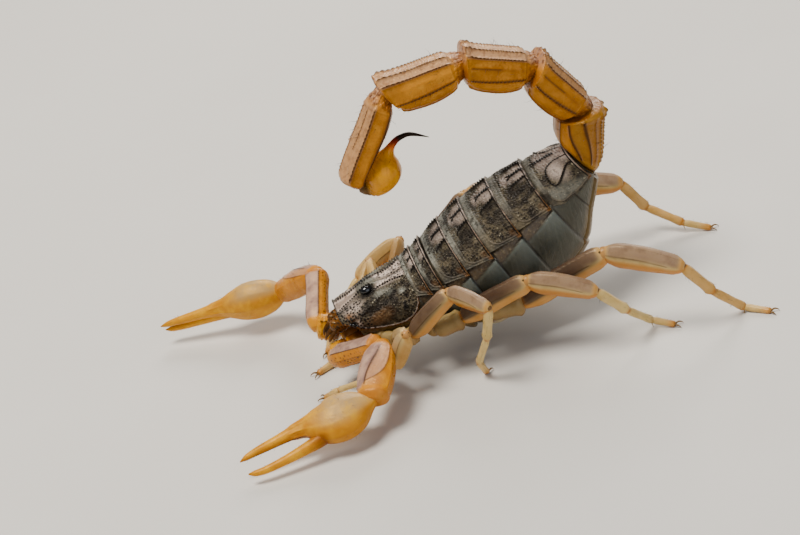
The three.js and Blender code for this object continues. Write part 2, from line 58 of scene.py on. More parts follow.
BELLY_POWER = 0.92     # squareness of the belly
TERGITE_EDGE = 69.2    # degrees from the crown to a back plate's side
STERNITE_EDGE = 55.4   # degrees from the belly line to a belly plate's side
SHIELD_END = 4         # station where the head shield ends and the back plates start
TAIL_ROOT = 12         # station where the tail starts
PLATE_DEPTH = 0.3      # how far a back plate reaches below the trunk's surface
FULL_TURN = 6.283      # radians in a turn, near enough for a random direction
MARKS = ("ridge", "rim", "tone", "grain", "low")
SIDES = ((1, "left"), (-1, "right"))

# y and z of the crown, tilt of the section, half width, depth; one row for each station
TRUNK = np.array([
    [-4.0, 7.8, 15.5, 2.55, 3.4],
    [-2.4, 8.35, 15.5, 3.05, 4.3],
    [0.1, 9.0, 15.5, 3.75, 5.4],
    [2.2, 9.5, 15.5, 4.25, 6.4],
    [3.75, 9.92, 16.0, 4.55, 7.3],
    [5.1, 10.5, 17.0, 4.95, 8.6],
    [6.42, 11.2, 18.0, 5.4, 9.8],
    [8.61, 12.4, 19.5, 5.9, 11.2],
    [11.28, 13.78, 21.0, 6.1, 12.3],
    [14.36, 14.96, 22.0, 5.9, 12.2],
    [18.26, 15.86, 24.0, 5.1, 10.1],
    [20.5, 16.3, 28.0, 4.0, 7.0],
    [22.7, 16.5, 34.0, 2.5, 4.2],
])
STATIONS = np.arange(len(TRUNK))

# length, pitch, half width, reach of the outer and of the inner face
TAIL = np.array([
    [5.85, 77.0, 2.5, 2.15, 2.55],
    [6.9, 122.0, 2.4, 1.85, 2.2],
    [7.1, 157.5, 2.3, 1.95, 2.15],
    [7.9, 183.0, 2.1, 1.85, 2.15],
    [9.9, 236.0, 1.95, 1.75, 1.6],
])

# lengths of trochanter, femur, patella, tibia, basitarsus, tarsus; half thickness; and for
# each side the hip, the yaw from outwards towards the tail and the pitch of each length
LEGS = {
    "front": ((1.8, 4.7, 4.6, 3.6, 3.4, 2.0), 0.72, {
        "left": ((3.4, -0.2, 4.6), (38, 11, -133, -112, -118, -121), (6, 31, -59, -19, -16)),
        "right": ((3.4, -0.2, 4.6), (38, 4, -138, -140, -128, -112), (6, 18, -40, -36, -12))}),
    "second": ((2.1, 6.2, 5.7, 3.9, 4.0, 2.2), 0.82, {
        "left": ((4.5, 1.5, 4.2), (35, 72, 31, -136, -144, 151), (34, 40, -2, -70, -57)),
        "right": ((4.4, 1.3, 4.1), (30, 25, -92, -110, -150, -160), (10, 17, -25, -40, -10))}),
    "third": ((2.9, 8.0, 6.9, 4.0, 4.0, 2.4), 0.92, {
        "left": ((5.5, 4.9, 4.9), (74, 71, 62, 90, 125, 60), (14, 22, -14, -52, -46)),
        "right": ((5.4, 3.9, 5.0), (62, 68, 66, 60, 45, 42), (27, 29, -24, -72, -36))}),
    "rear": ((3.8, 9.9, 7.8, 4.3, 4.2, 2.9), 1.0, {
        "left": ((5.9, 10.2, 5.3), (73, 73, 62, 87, 101, 48), (2, 23.6, -15.7, -58, -49)),
        "right": ((5.7, 7.8, 5.3), (68, 84, 94, 80, 126, 118), (0, 20, -14, -62, -27))}),
}
FOOT = 0.3             # half thickness at the tip of a tarsus

# joints from the body to the fingertip; spread: the way the movable finger opens, and open how
# far; bow and plump: swell of forearm and palm; pale: direction in degrees and range of the
# palm's pale side; turn: degrees that the pink faces are turned about the arm
PEDIPALPS = {
    "left": dict(coxa=(1.6, -1.6, 4.2), trochanter=(1.75, -3.6, 3.7), elbow1=(1.8, -5.6, 3.4),
                 elbow2=(6.1, -1.05, 5.6), wrist=(12.6, -3.7, 3.8), tip=(13.5, -17.4, 1.7),
                 spread=(0.86, 0, -0.5), open=1.0, bow=(0.1, 0.26, 0), plump=0.15,
                 pale=(42, -0.1, 0.75), turn=17),
    "right": dict(coxa=(-1.6, -1.6, 4.2), trochanter=(-2.0, -4.0, 4.4), elbow1=(-2.45, -6.1, 5.0),
                  elbow2=(-8.35, -4.3, 7.6), wrist=(-13.45, -8.0, 4.1), tip=(-17.7, -21.3, 2.1),
                  spread=(-0.3, 0.3, -0.9), open=0.45, bow=(0, 0, 0), plump=0.0,
                  pale=(92, 0.45, 0.95), turn=-17),
}
EYE_SEAT = np.array([0.72, -0.464, 9.102])
EYE_RADIUS = 0.52

# The two eyes tie the animal's millimetres to the frame.
eye_boxes = np.array([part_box("median_eye_left"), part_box("median_eye_right")], float)
HOME = (eye_boxes.min(axis=(0, 1)) + eye_boxes.max(axis=(0, 1))) / 2 / MM - EYE_SEAT * (0, 1, 1)


# ------------------------------------------------------------------ curves and fields
def through(knots, values, t):
    """Cubic through the values at the knots; the slope at a knot is that of its neighbours."""
    k, p = np.asarray(knots, float), np.asarray(values, float)
    slope = np.gradient(p, k, axis=0)
    t = np.clip(np.asarray(t, float), k[0], k[-1])
    i = np.clip(np.searchsorted(k, t, side="right") - 1, 0, len(k) - 2)
    step = k[i + 1] - k[i]
    x = (t - k[i]) / step
    if p.ndim > 1:
        x, step = x[..., None], step[..., None]
    return ((2 * x**3 - 3 * x**2 + 1) * p[i] + (x**3 - 2 * x**2 + x) * step * slope[i]
            + (3 * x**2 - 2 * x**3) * p[i + 1] + (x**3 - x**2) * step * slope[i + 1])


def rise(x, low, high):
    """0 below low, 1 above high, and a smooth S between them."""
    t = np.clip((np.asarray(x, float) - low) / (high - low), 0, 1)
    return t * t * (3 - 2 * t)


def hill(x, centre, width):
    """A bell: e to the minus square of the distance from centre, in widths."""
    return np.exp(-((x - centre) / width) ** 2)


def band(x, low, start, end, high):
    """1 from start to end, with a smooth S up from low before it and down to high after it."""
    return rise(x, low, start) * (1 - rise(x, end, high))


def most(*fields):
    """The greatest of several fields at each point."""
    return functools.reduce(np.maximum, fields)


def turned(angle):
    """The same angle, from minus half a turn to half a turn."""
    return (angle + np.pi) % (2 * np.pi) - np.pi


def unit(v):
    """The vectors of the last axis, each divided by its length."""
    v = np.asarray(v, float)
    return v / np.linalg.norm(v, axis=-1, keepdims=True)


def chance(*keys):
    """A repeatable value from 0 to 1 for whole-number keys: the broken-off part of a big sine."""
    mixed = sum(np.asarray(k, float) * w for k, w in zip(keys, (127.1, 311.7, 74.7, 191.3)))
    return np.modf(np.abs(np.sin(mixed) * 43758.5453))[0]


def granules(a, b, spacing, seed=0, size=0.55):
    """Low domes strewn on a jittered lattice in the plane (a, b): the highest dome at each point."""
    a, b = a / spacing, b / spacing
    best = np.zeros(np.broadcast(a, b).shape)
    for i in (-1, 0, 1):
        for j in (-1, 0, 1):
            ca, cb = np.floor(a) + i, np.floor(b) + j
            x = a - ca - 0.15 - 0.7 * chance(ca, cb, seed)
            y = b - cb - 0.15 - 0.7 * chance(ca, cb, seed + 7)
            radius = size * (0.55 + 0.45 * chance(ca, cb, seed + 13))
            best = np.maximum(best, np.clip(1 - (x * x + y * y) / radius**2, 0, 1) * radius / size)
    return np.sqrt(best)


def waves(a, b, spacing, seed=0):
    """Soft random swell, about -1 to 1: a few sines in turned directions, summed."""
    total = 0.0
    for k in range(5):
        turn, phase = FULL_TURN * chance(k, seed), FULL_TURN * chance(k, seed + 3)
        pitch = spacing * (0.6 + 0.9 * chance(k, seed + 5))
        total = total + np.sin((a * np.cos(turn) + b * np.sin(turn)) * FULL_TURN / pitch + phase)
    return total / 3.0


def beads(length, spacing):
    """Round beads along a keel: a power of the squared sine of the way along it."""
    return 0.35 + 0.65 * (np.sin(np.pi * length / spacing) ** 2) ** 0.6


def swing(at):
    """A keel's angles at its near and its far end, from one number or a pair."""
    return at if isinstance(at, tuple) else (at, at)


def mirrored(rows):
    """Keel rows, each with its twin on the other side; a keel on the midline has none."""
    return [((sign * swing(row[0])[0], sign * swing(row[0])[1]), *row[1:])
            for row in rows for sign in (1, -1) if row[0] or sign > 0]


def keels(angle, t, length, rows):
    """Keels along a limb. A row is (degrees, height, width in degrees, start, end, bead
    spacing or 0, darkness), where degrees may be a pair that the keel swings between. Each is
    a bell across, beaded along, that fades at its ends and stands higher at the far one.
    Returns the lift and the dark mark."""
    lift = np.zeros(np.broadcast(angle, t).shape)
    dark = np.zeros_like(lift)
    for at, height, width, start, end, spacing, darkness in rows:
        near_end, far_end = swing(at)
        line = np.radians(near_end + (far_end - near_end) * rise(t, 0.0, 1.0))
        off = np.degrees(turned(angle - line))
        along = band(t, start, start + 0.08, end - 0.05, end + 0.01)
        knots = beads(t * length + near_end * 0.01, spacing) if spacing else 1.0
        grown = along * (1 + 0.9 * rise(t, end - 0.16, end - 0.03))
        lift = np.maximum(lift, height * hill(off, 0, width) * grown * (0.3 + 0.7 * knots))
        dark = np.maximum(dark, darkness * hill(off, 0, 0.72 * width) * along * (0.5 + 0.5 * knots))
    return lift, dark


def near(x, y, path):
    """How far each point (x, y) lies from a smooth path, how far along the path its nearest
    spot is, and the path's whole length."""
    path = np.asarray(path, float)
    knots = np.linspace(0, 1, len(path))
    path = through(knots, path, np.linspace(0, 1, 5 * len(path)))
    gap = np.full(np.broadcast(x, y).shape, 99.0)  # farther than any point
    along, run = np.zeros_like(gap), 0.0
    for a, b in zip(path[:-1], path[1:]):
        step = b - a
        length = float(np.hypot(*step))
        t = np.clip(((x - a[0]) * step[0] + (y - a[1]) * step[1]) / length**2, 0, 1)
        here = np.hypot(x - a[0] - t * step[0], y - a[1] - t * step[1])
        along = np.where(here < gap, run + t * length, along)
        gap = np.minimum(gap, here)
        run += length
    return gap, along, run


# ------------------------------------------------------------------ from grids to meshes
def outwards(points, faces):
    """Turns a closed shell's triangles outwards, so that its signed volume is above zero."""
    a, b, c = points[faces].transpose(1, 0, 2)
    return faces if np.einsum("ij,ij->", a, np.cross(b, c)) > 0 else faces[:, ::-1]


def weave(rows, cols, closed):
    """Two triangles for each cell of a grid of points, closed round the columns if asked."""
    r = np.arange(rows - 1)[:, None]
    c = np.arange(cols if closed else cols - 1)[None, :]
    a, b = r * cols + c, r * cols + (c + 1) % cols
    pair = np.stack([a, b, b + cols, a, b + cols, a + cols], -1)
    return pair.reshape(-1, 3)


def sleeve(points, **marks):
    """A closed sleeve: rings of points joined row to row, with a fan over each end."""
    rows, cols = points.shape[:2]
    flat = np.concatenate([points.reshape(-1, 3), points[0].mean(0)[None],
                           points[-1].mean(0)[None]])
    ring = np.arange(cols)
    nxt, last, n = (ring + 1) % cols, (rows - 1) * cols, rows * cols
    fans = [np.stack([nxt, ring, np.full(cols, n)], -1),
            np.stack([last + ring, last + nxt, np.full(cols, n + 1)], -1)]
    faces = np.concatenate([weave(rows, cols, True)] + fans)
    out = {k: np.broadcast_to(m, (rows, cols)) for k, m in marks.items()}
    out = {k: np.concatenate([m.ravel(), [m[0].mean(), m[-1].mean()]]) for k, m in out.items()}
    return flat, outwards(flat, faces), out


def plate(outer, inner, **marks):
    """A closed plate: an outer and an inner grid of the same size, joined round the border."""
    rows, cols = outer.shape[:2]
    n = rows * cols
    sheet = weave(rows, cols, False)
    index = np.arange(n).reshape(rows, cols)
    edge = np.concatenate([index[0], index[1:, -1], index[-1, -2::-1], index[-2:0:-1, 0]])
    nxt = np.roll(edge, -1)
    wall = np.concatenate([np.stack([nxt, edge, edge + n], -1),
                           np.stack([nxt, edge + n, nxt + n], -1)])
    faces = np.concatenate([sheet, sheet[:, ::-1] + n, wall])
    flat = np.concatenate([outer.reshape(-1, 3), inner.reshape(-1, 3)])
    out = {k: np.broadcast_to(m, (rows, cols)).ravel() for k, m in marks.items()}
    return flat, outwards(flat, faces), {k: np.concatenate([m, m]) for k, m in out.items()}


def set_out(name, data):
    """Adds an object that holds a mesh, light or camera to the scene."""
    made = bpy.data.objects.new(name, data)
    bpy.context.scene.collection.objects.link(made)
    return made


def piece(name, shapes, material, slot, *nodes):
    """Joins closed shapes into one named mesh in the frame, with a value of every mark at
    each point, and hides the imported parts that it replaces."""
    points, faces, marks, start = [], [], {k: [] for k in MARKS}, 0
    for p, f, m in shapes:
        points.append(p)
        faces.append(f + start)
        start += len(p)
        for k in MARKS:
            marks[k].append(m.get(k, np.zeros(len(p))))
    mesh = bpy.data.meshes.new(name)
    mesh.from_pydata((np.concatenate(points) + HOME) * MM, [], np.concatenate(faces))
    for k in MARKS:
        mesh.attributes.new(k, "FLOAT", "POINT").data.foreach_set("value", np.concatenate(marks[k]))
    mesh.shade_smooth()
    mesh.materials.append(material)
    made = set_out(name, mesh)
    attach(made, "root")
    if nodes:
        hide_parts(*nodes)
    return made


# ------------------------------------------------------------------ finishes
def ink(code):
    """An sRGB hex colour as linear red, green, blue and a full alpha."""
    c = np.array([int(code[i:i + 2], 16) for i in (1, 3, 5)]) / 255
    c = np.where(c <= 0.04045, c / 12.92, ((c + 0.055) / 1.055) ** 2.4)
    return (*c.tolist(), 1.0)


def add(tree, kind, sockets=(), **fields):
    """Adds one shader node: fields are its own settings, and sockets gives each named input
    a value or the output that feeds it."""
    made = tree.nodes.new(kind)
    for key, value in fields.items():
        setattr(made, key, value)
    for key, value in dict(sockets).items():
        if isinstance(value, bpy.types.NodeSocket):
            tree.links.new(value, made.inputs[key])
        else:
            made.inputs[key].default_value = value
    return made


def pattern(tree, place, spec):
    """A 0 to 1 field. spec is (source, size in mm, low, high): source is a mark's name, or
    noise, cells or threads in the object's own coordinates; low and high are the values
    that become 0 and 1. A list of specs is their product."""
    if isinstance(spec, list):
        total = pattern(tree, place, spec[0])
        for other in spec[1:]:
            factor = pattern(tree, place, other)
            total = add(tree, "ShaderNodeMath", {0: total, 1: factor},
                        operation="MULTIPLY").outputs[0]
        return total
    source, size, low, high = spec
    if source == "noise":
        field = add(tree, "ShaderNodeTexNoise", {"Vector": place, "Scale": 1000 / size, "Detail": 4.0,
                                                 "Roughness": 0.55}).outputs[0]
    elif source == "cells":
        field = add(tree, "ShaderNodeTexVoronoi", {"Vector": place, "Scale": 1000 / size}).outputs[0]
    elif source == "threads":
        drawn = add(tree, "ShaderNodeMapping", {"Vector": place, "Scale": (1.0, 1.0, 0.16)}).outputs[0]
        field = add(tree, "ShaderNodeTexNoise", {"Vector": drawn, "Scale": 1000 / size, "Detail": 3.0,
                                                 "Distortion": 0.6}).outputs[0]
    else:
        field = add(tree, "ShaderNodeAttribute", attribute_name=source).outputs["Fac"]
    return add(tree, "ShaderNodeMapRange", {0: field, 1: low, 2: high}).outputs[0]


def finish(name, base, layers, rough, bumps, subsurface=0.0, coat=0.0, glint="#ffffff", ior=1.5):
    """One shell or skin material. layers are (colour, strength, pattern) laid over the base in
    turn, rough is (least, highest, pattern), bumps are (height in mm, pattern) added up, and
    glint is the colour of the gloss."""
    material = bpy.data.materials.new(name)
    material.use_nodes = True
    tree = material.node_tree
    shader = tree.nodes["Principled BSDF"]
    place = add(tree, "ShaderNodeTexCoord").outputs["Object"]
    colour = add(tree, "ShaderNodeRGB").outputs[0]
    colour.default_value = ink(base)
    for code, strength, spec in layers:
        share = add(tree, "ShaderNodeMath", {0: pattern(tree, place, spec), 1: strength},
                    operation="MULTIPLY").outputs[0]
        colour = add(tree, "ShaderNodeMix", {0: share, 6: colour, 7: ink(code)},
                     data_type="RGBA").outputs[2]
    tree.links.new(colour, shader.inputs["Base Color"])
    least, highest, spec = rough
    spread = add(tree, "ShaderNodeMapRange", {0: pattern(tree, place, spec), 3: least, 4: highest})
    tree.links.new(spread.outputs[0], shader.inputs["Roughness"])
    normal = None
    for height, spec in bumps:
        sockets = {"Height": pattern(tree, place, spec), "Distance": height * MM, "Strength": 1.0}
        if normal:
            sockets["Normal"] = normal
        normal = add(tree, "ShaderNodeBump", sockets).outputs[0]
    if normal:
        tree.links.new(normal, shader.inputs["Normal"])
    for key, value in {"IOR": ior, "Coat Weight": coat, "Coat Roughness": 0.12,
                       "Subsurface Weight": subsurface, "Subsurface Radius": (1.0, 0.6, 0.15),
                       "Subsurface Scale": 0.5 * MM, "Specular Tint": ink(glint)}.items():
        shader.inputs[key].default_value = value
    return material


# Sclerotised back shell: tanned cuticle with a coarse grain of dark domes. The front bands are
# smooth grey-green, the crests lilac-grey, the corners amber and the keels black. The pale
# layer also carries a painted highlight beside the head's front keels, and the black layer
# painted shade in the groove and under the lip at each back plate's rear.
back_shell = finish(
    "granular_back_cuticle", "#25201a",
    [("#5b513e", 0.88, [("noise", 1.5, 0.4, 0.58), ("grain", 0, 0.9, 0.3)]),
     ("#0c0908", 0.9, [("grain", 0, 0.4, 0.8), ("noise", 0.7, 0.64, 0.42)]),
     ("#0b0807", 0.75, ("noise", 1.0, 0.48, 0.38)),
     ("#b5a98c", 0.8, [("grain", 0, 0.5, 0.9), ("noise", 0.8, 0.55, 0.65)]),
     ("#98978a", 0.9, ("low", 0, 0.1, 0.95)),
     # pale crests and bands, and the painted highlight beside the head's front keels
     ("#dfc9b8", 0.9, ("tone", 0, 0.1, 1.0)),
     ("#2b211d", 0.75, [("tone", 0, 0.2, 1.0), ("noise", 0.42, 0.52, 0.62)]),
     ("#1a1814", 0.9, [("low", 0, 0.15, 0.8), ("noise", 0.5, 0.52, 0.61)]),
     ("#764a1c", 0.85, ("rim", 0, 0.15, 0.95)),
     # black keels, and painted shade in the groove and under the lip at each back plate's rear
     ("#050303", 0.98, ("ridge", 0, 0.2, 0.55))],
    (0.3, 0.55, ("noise", 0.5, 0.35, 0.65)),
    [(0.03, ("noise", 0.22, 0.3, 0.7)), (0.02, ("cells", 0.16, 0.0, 0.7))], glint="#b5aa9c")
# Stretched arthrodial skin: thin and matte, drawn into fine threads; its wet sheen is a painted highlight
# on the side panels.
side_skin = finish(
    "stretched_side_skin", "#3d3d31",
    [("#262822", 0.5, ("noise", 2.6, 0.42, 0.66)),
     ("#57574a", 0.3, ("threads", 0.34, 0.5, 0.7)),
     # painted highlight: the blue-grey wet sheen of the side panels, carried by the rim mark
     ("#666f69", 0.75, ("rim", 0, 0.0, 1.0)),
     ("#5e4414", 0.9, ("low", 0, 0.1, 0.9)),
     ("#8a7432", 0.5, [("low", 0, 0.2, 0.9), ("noise", 0.9, 0.45, 0.7)]),
     ("#4a3620", 0.85, ("tone", 0, 0.2, 1.0)),
     ("#8a7a58", 0.5, [("tone", 0, 0.2, 1.0), ("noise", 0.35, 0.52, 0.66)]),
     # painted shade: the creases of the side skin and the seams between the coxae, carried by the ridge
     # mark
     ("#120d09", 0.9, ("ridge", 0, 0.2, 0.8))],
    (0.28, 0.46, ("noise", 0.8, 0.35, 0.65)),
    [(0.02, ("threads", 0.24, 0.3, 0.7)), (0.012, ("noise", 0.12, 0.3, 0.7))], subsurface=0.06,
    glint="#fff6ea")
# Belly shell: thin smooth cuticle over pale tissue, waxy.
belly_shell = finish(
    "waxy_belly_cuticle", "#6d5118",
    [("#574524", 0.85, ("tone", 0, 0.1, 1.0)),
     ("#8f7230", 0.5, [("noise", 1.8, 0.45, 0.7), ("tone", 0, 0.8, 0.2)]),
     ("#5d3410", 0.8, ("rim", 0, 0.3, 1.0)),
     ("#150d08", 0.9, ("ridge", 0, 0.3, 0.9))],
    (0.26, 0.4, ("noise", 0.6, 0.35, 0.65)),
    [(0.012, ("noise", 0.25, 0.3, 0.7))], subsurface=0.1, glint="#ffe8c4")
# Amber shell of the tail: translucent cuticle, pinkish tan on the outer faces, with dark
# red-brown keels and pale lumpy joints. Its red-brown grain layer is painted shade beside the
# keels, at the joints and on the swollen inner face.
amber_shell = finish(
    "amber_cuticle", "#c17d18",
    [("#875004", 0.6, ("noise", 2.4, 0.4, 0.66)),
     ("#d8962a", 0.5, ("noise", 0.9, 0.5, 0.72)),
     ("#86621e", 0.9, ("low", 0, 0.05, 1.0)),
     ("#bb8f66", 0.95, ("tone", 0, 0.05, 1.0)),
     ("#7c523a", 0.6, [("tone", 0, 0.3, 1.0), ("noise", 0.5, 0.47, 0.66)]),
     # painted shade: red-brown beside the tail's keels, at the inner sides of its joints and on its inner
     # face
     ("#70350c", 0.74, ("grain", 0, 0.1, 1.0)),
     ("#997461", 0.88, ("rim", 0, 0.2, 1.0)),
     ("#4a2412", 0.85, [("rim", 0, 0.1, 0.7), ("noise", 0.45, 0.5, 0.64)]),
     ("#2a0f05", 0.94, ("ridge", 0, 0.12, 0.8))],
    (0.26, 0.44, ("noise", 0.7, 0.35, 0.65)),
    [(0.012, ("noise", 0.3, 0.3, 0.7)), (0.01, ("cells", 0.22, 0.0, 0.7))], subsurface=0.08,
    glint="#ffc880")
# Arm shell: the same cuticle with lilac-pink upper faces bounded by purple-brown lines, and
# orange sides; its grey-purple layer beside the lines is painted shade.
arm_shell = finish(
    "lilac_faced_cuticle", "#c67d10",
    [("#8e4c02", 0.5, ("noise", 2.2, 0.42, 0.66)),
     ("#dc9c20", 0.5, ("noise", 0.9, 0.5, 0.72)),
     ("#b99680", 0.95, ("tone", 0, 0.05, 1.0)),
     ("#80625a", 0.75, [("tone", 0, 0.3, 1.0), ("noise", 1.3, 0.42, 0.64)]),
     # painted shade beside the forearm's raised lines
     ("#6a4a4c", 0.8, ("grain", 0, 0.1, 1.0)),
     ("#a6642a", 0.8, ("rim", 0, 0.2, 1.0)),
     ("#d08e1c", 0.8, ("low", 0, 0.1, 1.0)),
     ("#26100c", 0.95, ("ridge", 0, 0.16, 0.7))],
    (0.26, 0.44, ("noise", 0.7, 0.35, 0.65)),
    [(0.012, ("noise", 0.3, 0.3, 0.7)), (0.01, ("cells", 0.22, 0.0, 0.7))], subsurface=0.08,
    glint="#ffcf90")
# Yellow hand: smoother than the tail, tan on top, with a red-brown root to the finger.
hand_shell = finish(
    "smooth_yellow_cuticle", "#d08c08",
    [("#a05e02", 0.5, ("noise", 2.8, 0.42, 0.66)),
     ("#b99a62", 0.85, ("tone", 0, 0.05, 1.0)),
     ("#8d7c66", 0.5, [("tone", 0, 0.4, 1.0), ("noise", 1.6, 0.42, 0.66)]),
     ("#e0a818", 0.6, ("noise", 1.1, 0.46, 0.7)),
     ("#a86008", 0.6, ("low", 0, 0.1, 1.0)),
     ("#6a2204", 0.9, ("rim", 0, 0.2, 1.0)),
     ("#2a0d04", 0.95, ("ridge", 0, 0.2, 0.7))],
    (0.34, 0.48, ("noise", 0.8, 0.35, 0.65)),
    [(0.008, ("noise", 0.35, 0.3, 0.7)), (0.008, ("cells", 0.3, 0.0, 0.7))], subsurface=0.1,
    glint="#ffd088")
# Jaw shell: dark amber cuticle set with black granules, the fingers browner.
jaw_shell = finish(
    "granular_jaw_cuticle", "#74440c",
    [("#3a200c", 0.7, ("noise", 1.1, 0.42, 0.62)),
     ("#b07c28", 0.7, [("grain", 0, 0.3, 0.9), ("noise", 0.6, 0.46, 0.6)]),
     ("#8a7440", 0.8, ("tone", 0, 0.2, 1.0)),
     ("#0c0605", 0.95, ("ridge", 0, 0.2, 0.6))],
    (0.26, 0.42, ("noise", 0.4, 0.35, 0.65)), [(0.01, ("noise", 0.2, 0.3, 0.7))], subsurface=0.05,
    glint="#ffdca8")
# Straw shell of legs: pale translucent cuticle, pinkish grey above, darker on the thighs, with
# bright amber lower edges and joints. On the coxae and trochanters the dark layer is painted
# shade.
leg_shell = finish(
    "straw_cuticle", "#d2b574",
    [("#a8893f", 0.5, ("noise", 1.4, 0.42, 0.68)),
     ("#8c6f5c", 0.9, ("tone", 0, 0.05, 1.0)),
     ("#6a4e3a", 0.5, [("tone", 0, 0.2, 0.9), ("noise", 1.1, 0.46, 0.66)]),
     # dark brown on the thighs; on the coxae and trochanters it is painted shade
     ("#35241c", 0.92, ("grain", 0, 0.05, 1.0)),
     ("#b86e04", 0.95, ("low", 0, 0.1, 1.0)),
     ("#5a2c0a", 0.85, ("rim", 0, 0.3, 1.0)),
     ("#2c1408", 0.9, ("ridge", 0, 0.15, 0.8))],
    (0.28, 0.44, ("noise", 0.6, 0.35, 0.65)),
    [(0.01, ("noise", 0.25, 0.3, 0.7))], subsurface=0.12, glint="#ffe6bc")
# Venom bulb: thin glossy cuticle over amber fluid and muscle, faintly striped.
bulb_shell = finish(
    "glossy_bulb_cuticle", "#d48d02",
    [("#9c5a00", 0.6, ("threads", 0.6, 0.42, 0.68)),
     ("#e2a40c", 0.45, ("noise", 1.3, 0.5, 0.72)),
     ("#1c0e06", 0.9, ("tone", 0, 0.3, 1.0)),
     ("#c25002", 0.9, ("low", 0, 0.1, 0.9)),
     ("#7c1e02", 0.96, ("rim", 0, 0.1, 0.9)),
     ("#2a0f08", 0.9, ("ridge", 0, 0.3, 0.9))],
    (0.24, 0.38, ("noise", 0.7, 0.35, 0.65)),
    [(0.012, ("noise", 0.4, 0.3, 0.7))], subsurface=0.1, coat=0.12, glint="#ffc878")
# Sting point and claws: hard tanned cuticle, red-brown turning black, polished by use.
horn_shell = finish(
    "black_tanned_point", "#050302",
    [("#7c1e02", 0.96, ("rim", 0, 0.1, 0.9)),
     ("#1c0a06", 0.5, ("noise", 0.6, 0.45, 0.7))],
    (0.36, 0.48, ("noise", 0.4, 0.35, 0.65)), [(0.004, ("noise", 0.2, 0.3, 0.7))],
    glint="#a8866c", ior=1.45)
# Eye lens: clear cuticle over black pigment, so it reads as polished black.
eye_lens = finish(
    "black_eye_lens", "#040507", [("#10141c", 0.5, ("noise", 0.5, 0.5, 0.75))],
    (0.12, 0.18, ("noise", 0.3, 0.4, 0.6)), [(0.001, ("noise", 0.2, 0.3, 0.7))], coat=0.25)
# Pectines: soft ivory combs.
comb_shell = finish(
    "ivory_comb_cuticle", "#d9c79a", [("#a8906a", 0.6, ("noise", 0.8, 0.45, 0.7)),
                                      ("#8a6f4c", 0.7, ("ridge", 0, 0.3, 0.9))],
    (0.36, 0.5, ("noise", 0.5, 0.35, 0.65)), [(0.008, ("noise", 0.2, 0.3, 0.7))], subsurface=0.25)
# Setae: tanned bristles, dark brown with paler tips.
bristle = finish(
    "tanned_bristle", "#3a2a1e", [("#8a6a48", 0.6, ("tone", 0, 0.3, 1.0))],
    (0.35, 0.5, ("noise", 0.3, 0.35, 0.65)), [(0.001, ("noise", 0.1, 0.3, 0.7))])


# ------------------------------------------------------------------ trunk
def trunk(s, angle, out=0.0):
    """Point of the trunk at station s, at an angle from the crown, out mm off its surface:
    across is sine to a power times half width, height is cosine to a power times the reach, and
    the section leans back by its tilt."""
    y, z, tilt, half, depth = np.moveaxis(through(STATIONS, TRUNK, s), -1, 0)
    top, c, n = TOP_SHARE * depth, np.cos(angle), np.sin(angle)
    power = np.where(c > 0, TOP_POWER, BELLY_POWER)
    across = np.sign(n) * np.abs(n) ** power * (half + out)
    height = np.sign(c) * np.abs(c) ** power * (np.where(c > 0, top, depth - top) + out)
    down, lean = top - height, np.radians(tilt)
    return np.stack([across, y + down * np.sin(lean), z - down * np.cos(lean)], -1)


def fan(u, edge, middle=0.0):
    """Angle from the crown for u from -1 to 1: a power of u, so that points spread evenly
    over the squared top, times the plate's edge angle."""
    return middle + np.sign(u) * np.abs(u) ** 1.15 * np.radians(edge)


def lattice(rows, cols, lo=0.0, hi=1.0, left=-1.0, right=1.0):
    """Parameters v down the rows and u along the columns."""
    return np.linspace(lo, hi, rows)[:, None], np.linspace(left, right, cols)[None, :]


# millimetres along the crown at each station
CROWN = np.concatenate([[0], np.cumsum(np.hypot(*np.diff(TRUNK[:, :2], axis=0).T))])


def chart(s, angle):
    """Millimetres over the trunk's surface for a station and an angle: the girth from the
    crown, summed along the section, and the length along the crown."""
    share = np.linspace(0, 1, 40)
    ring = trunk(np.asarray(s)[..., None] + 0 * share, np.asarray(angle)[..., None] * share)
    girth = np.linalg.norm(np.diff(ring, axis=-2), axis=-1).sum(-1)
    return girth, through(STATIONS, CROWN, s)


def carina(where, stops, height, width, spacing=0.28, darkness=1.0, cut=0.5):
    """A beaded ridge over a plate. where is the plate's chart and stops are (station, degrees)
    along the ridge; cut is the share of the dark that is lost between two beads. Returns its
    lift and its dark mark, both faded at the ends."""
    stops = np.asarray(stops, float)
    path = np.stack(chart(stops[:, 0], np.radians(stops[:, 1])), -1)
    gap, along, total = near(where[0], where[1], path)
    fade = band(along, 0.0, 0.35, total - 0.3, total)
    bead = (beads(along, spacing) - 0.35) / 0.65 if spacing else 1.0
    grown = height * (0.65 + 0.5 * along / total) * rise(along, -0.2, 0.9)
    return (grown * hill(gap, 0, width) * fade * (0.45 + 0.55 * bead),
            darkness * hill(gap, 0, width) * fade * (1 - cut + cut * bead))


def carinas(where, rows):
    """Several carinae together: the greatest lift and the greatest dark mark."""
    made = [carina(where, *row) for row in rows]
    return np.max([m[0] for m in made], axis=0), np.max([m[1] for m in made], axis=0)


def spot(where, station, degrees, wide, long):
    """A soft oval patch on a plate: a bell of the distance from a place, in the two widths."""
    place = chart(np.array(station), np.radians(degrees))
    return hill(where[0], place[0], wide) * hill(where[1], place[1], long)


SHIELD_EDGE = ([0, 0.4, 1.0, 1.6, 2.2, 2.8, 3.2, 3.6, 3.85, 3.99],
               [70, 84, 101, 107, 107, 101, 94, 86, 77, 66])


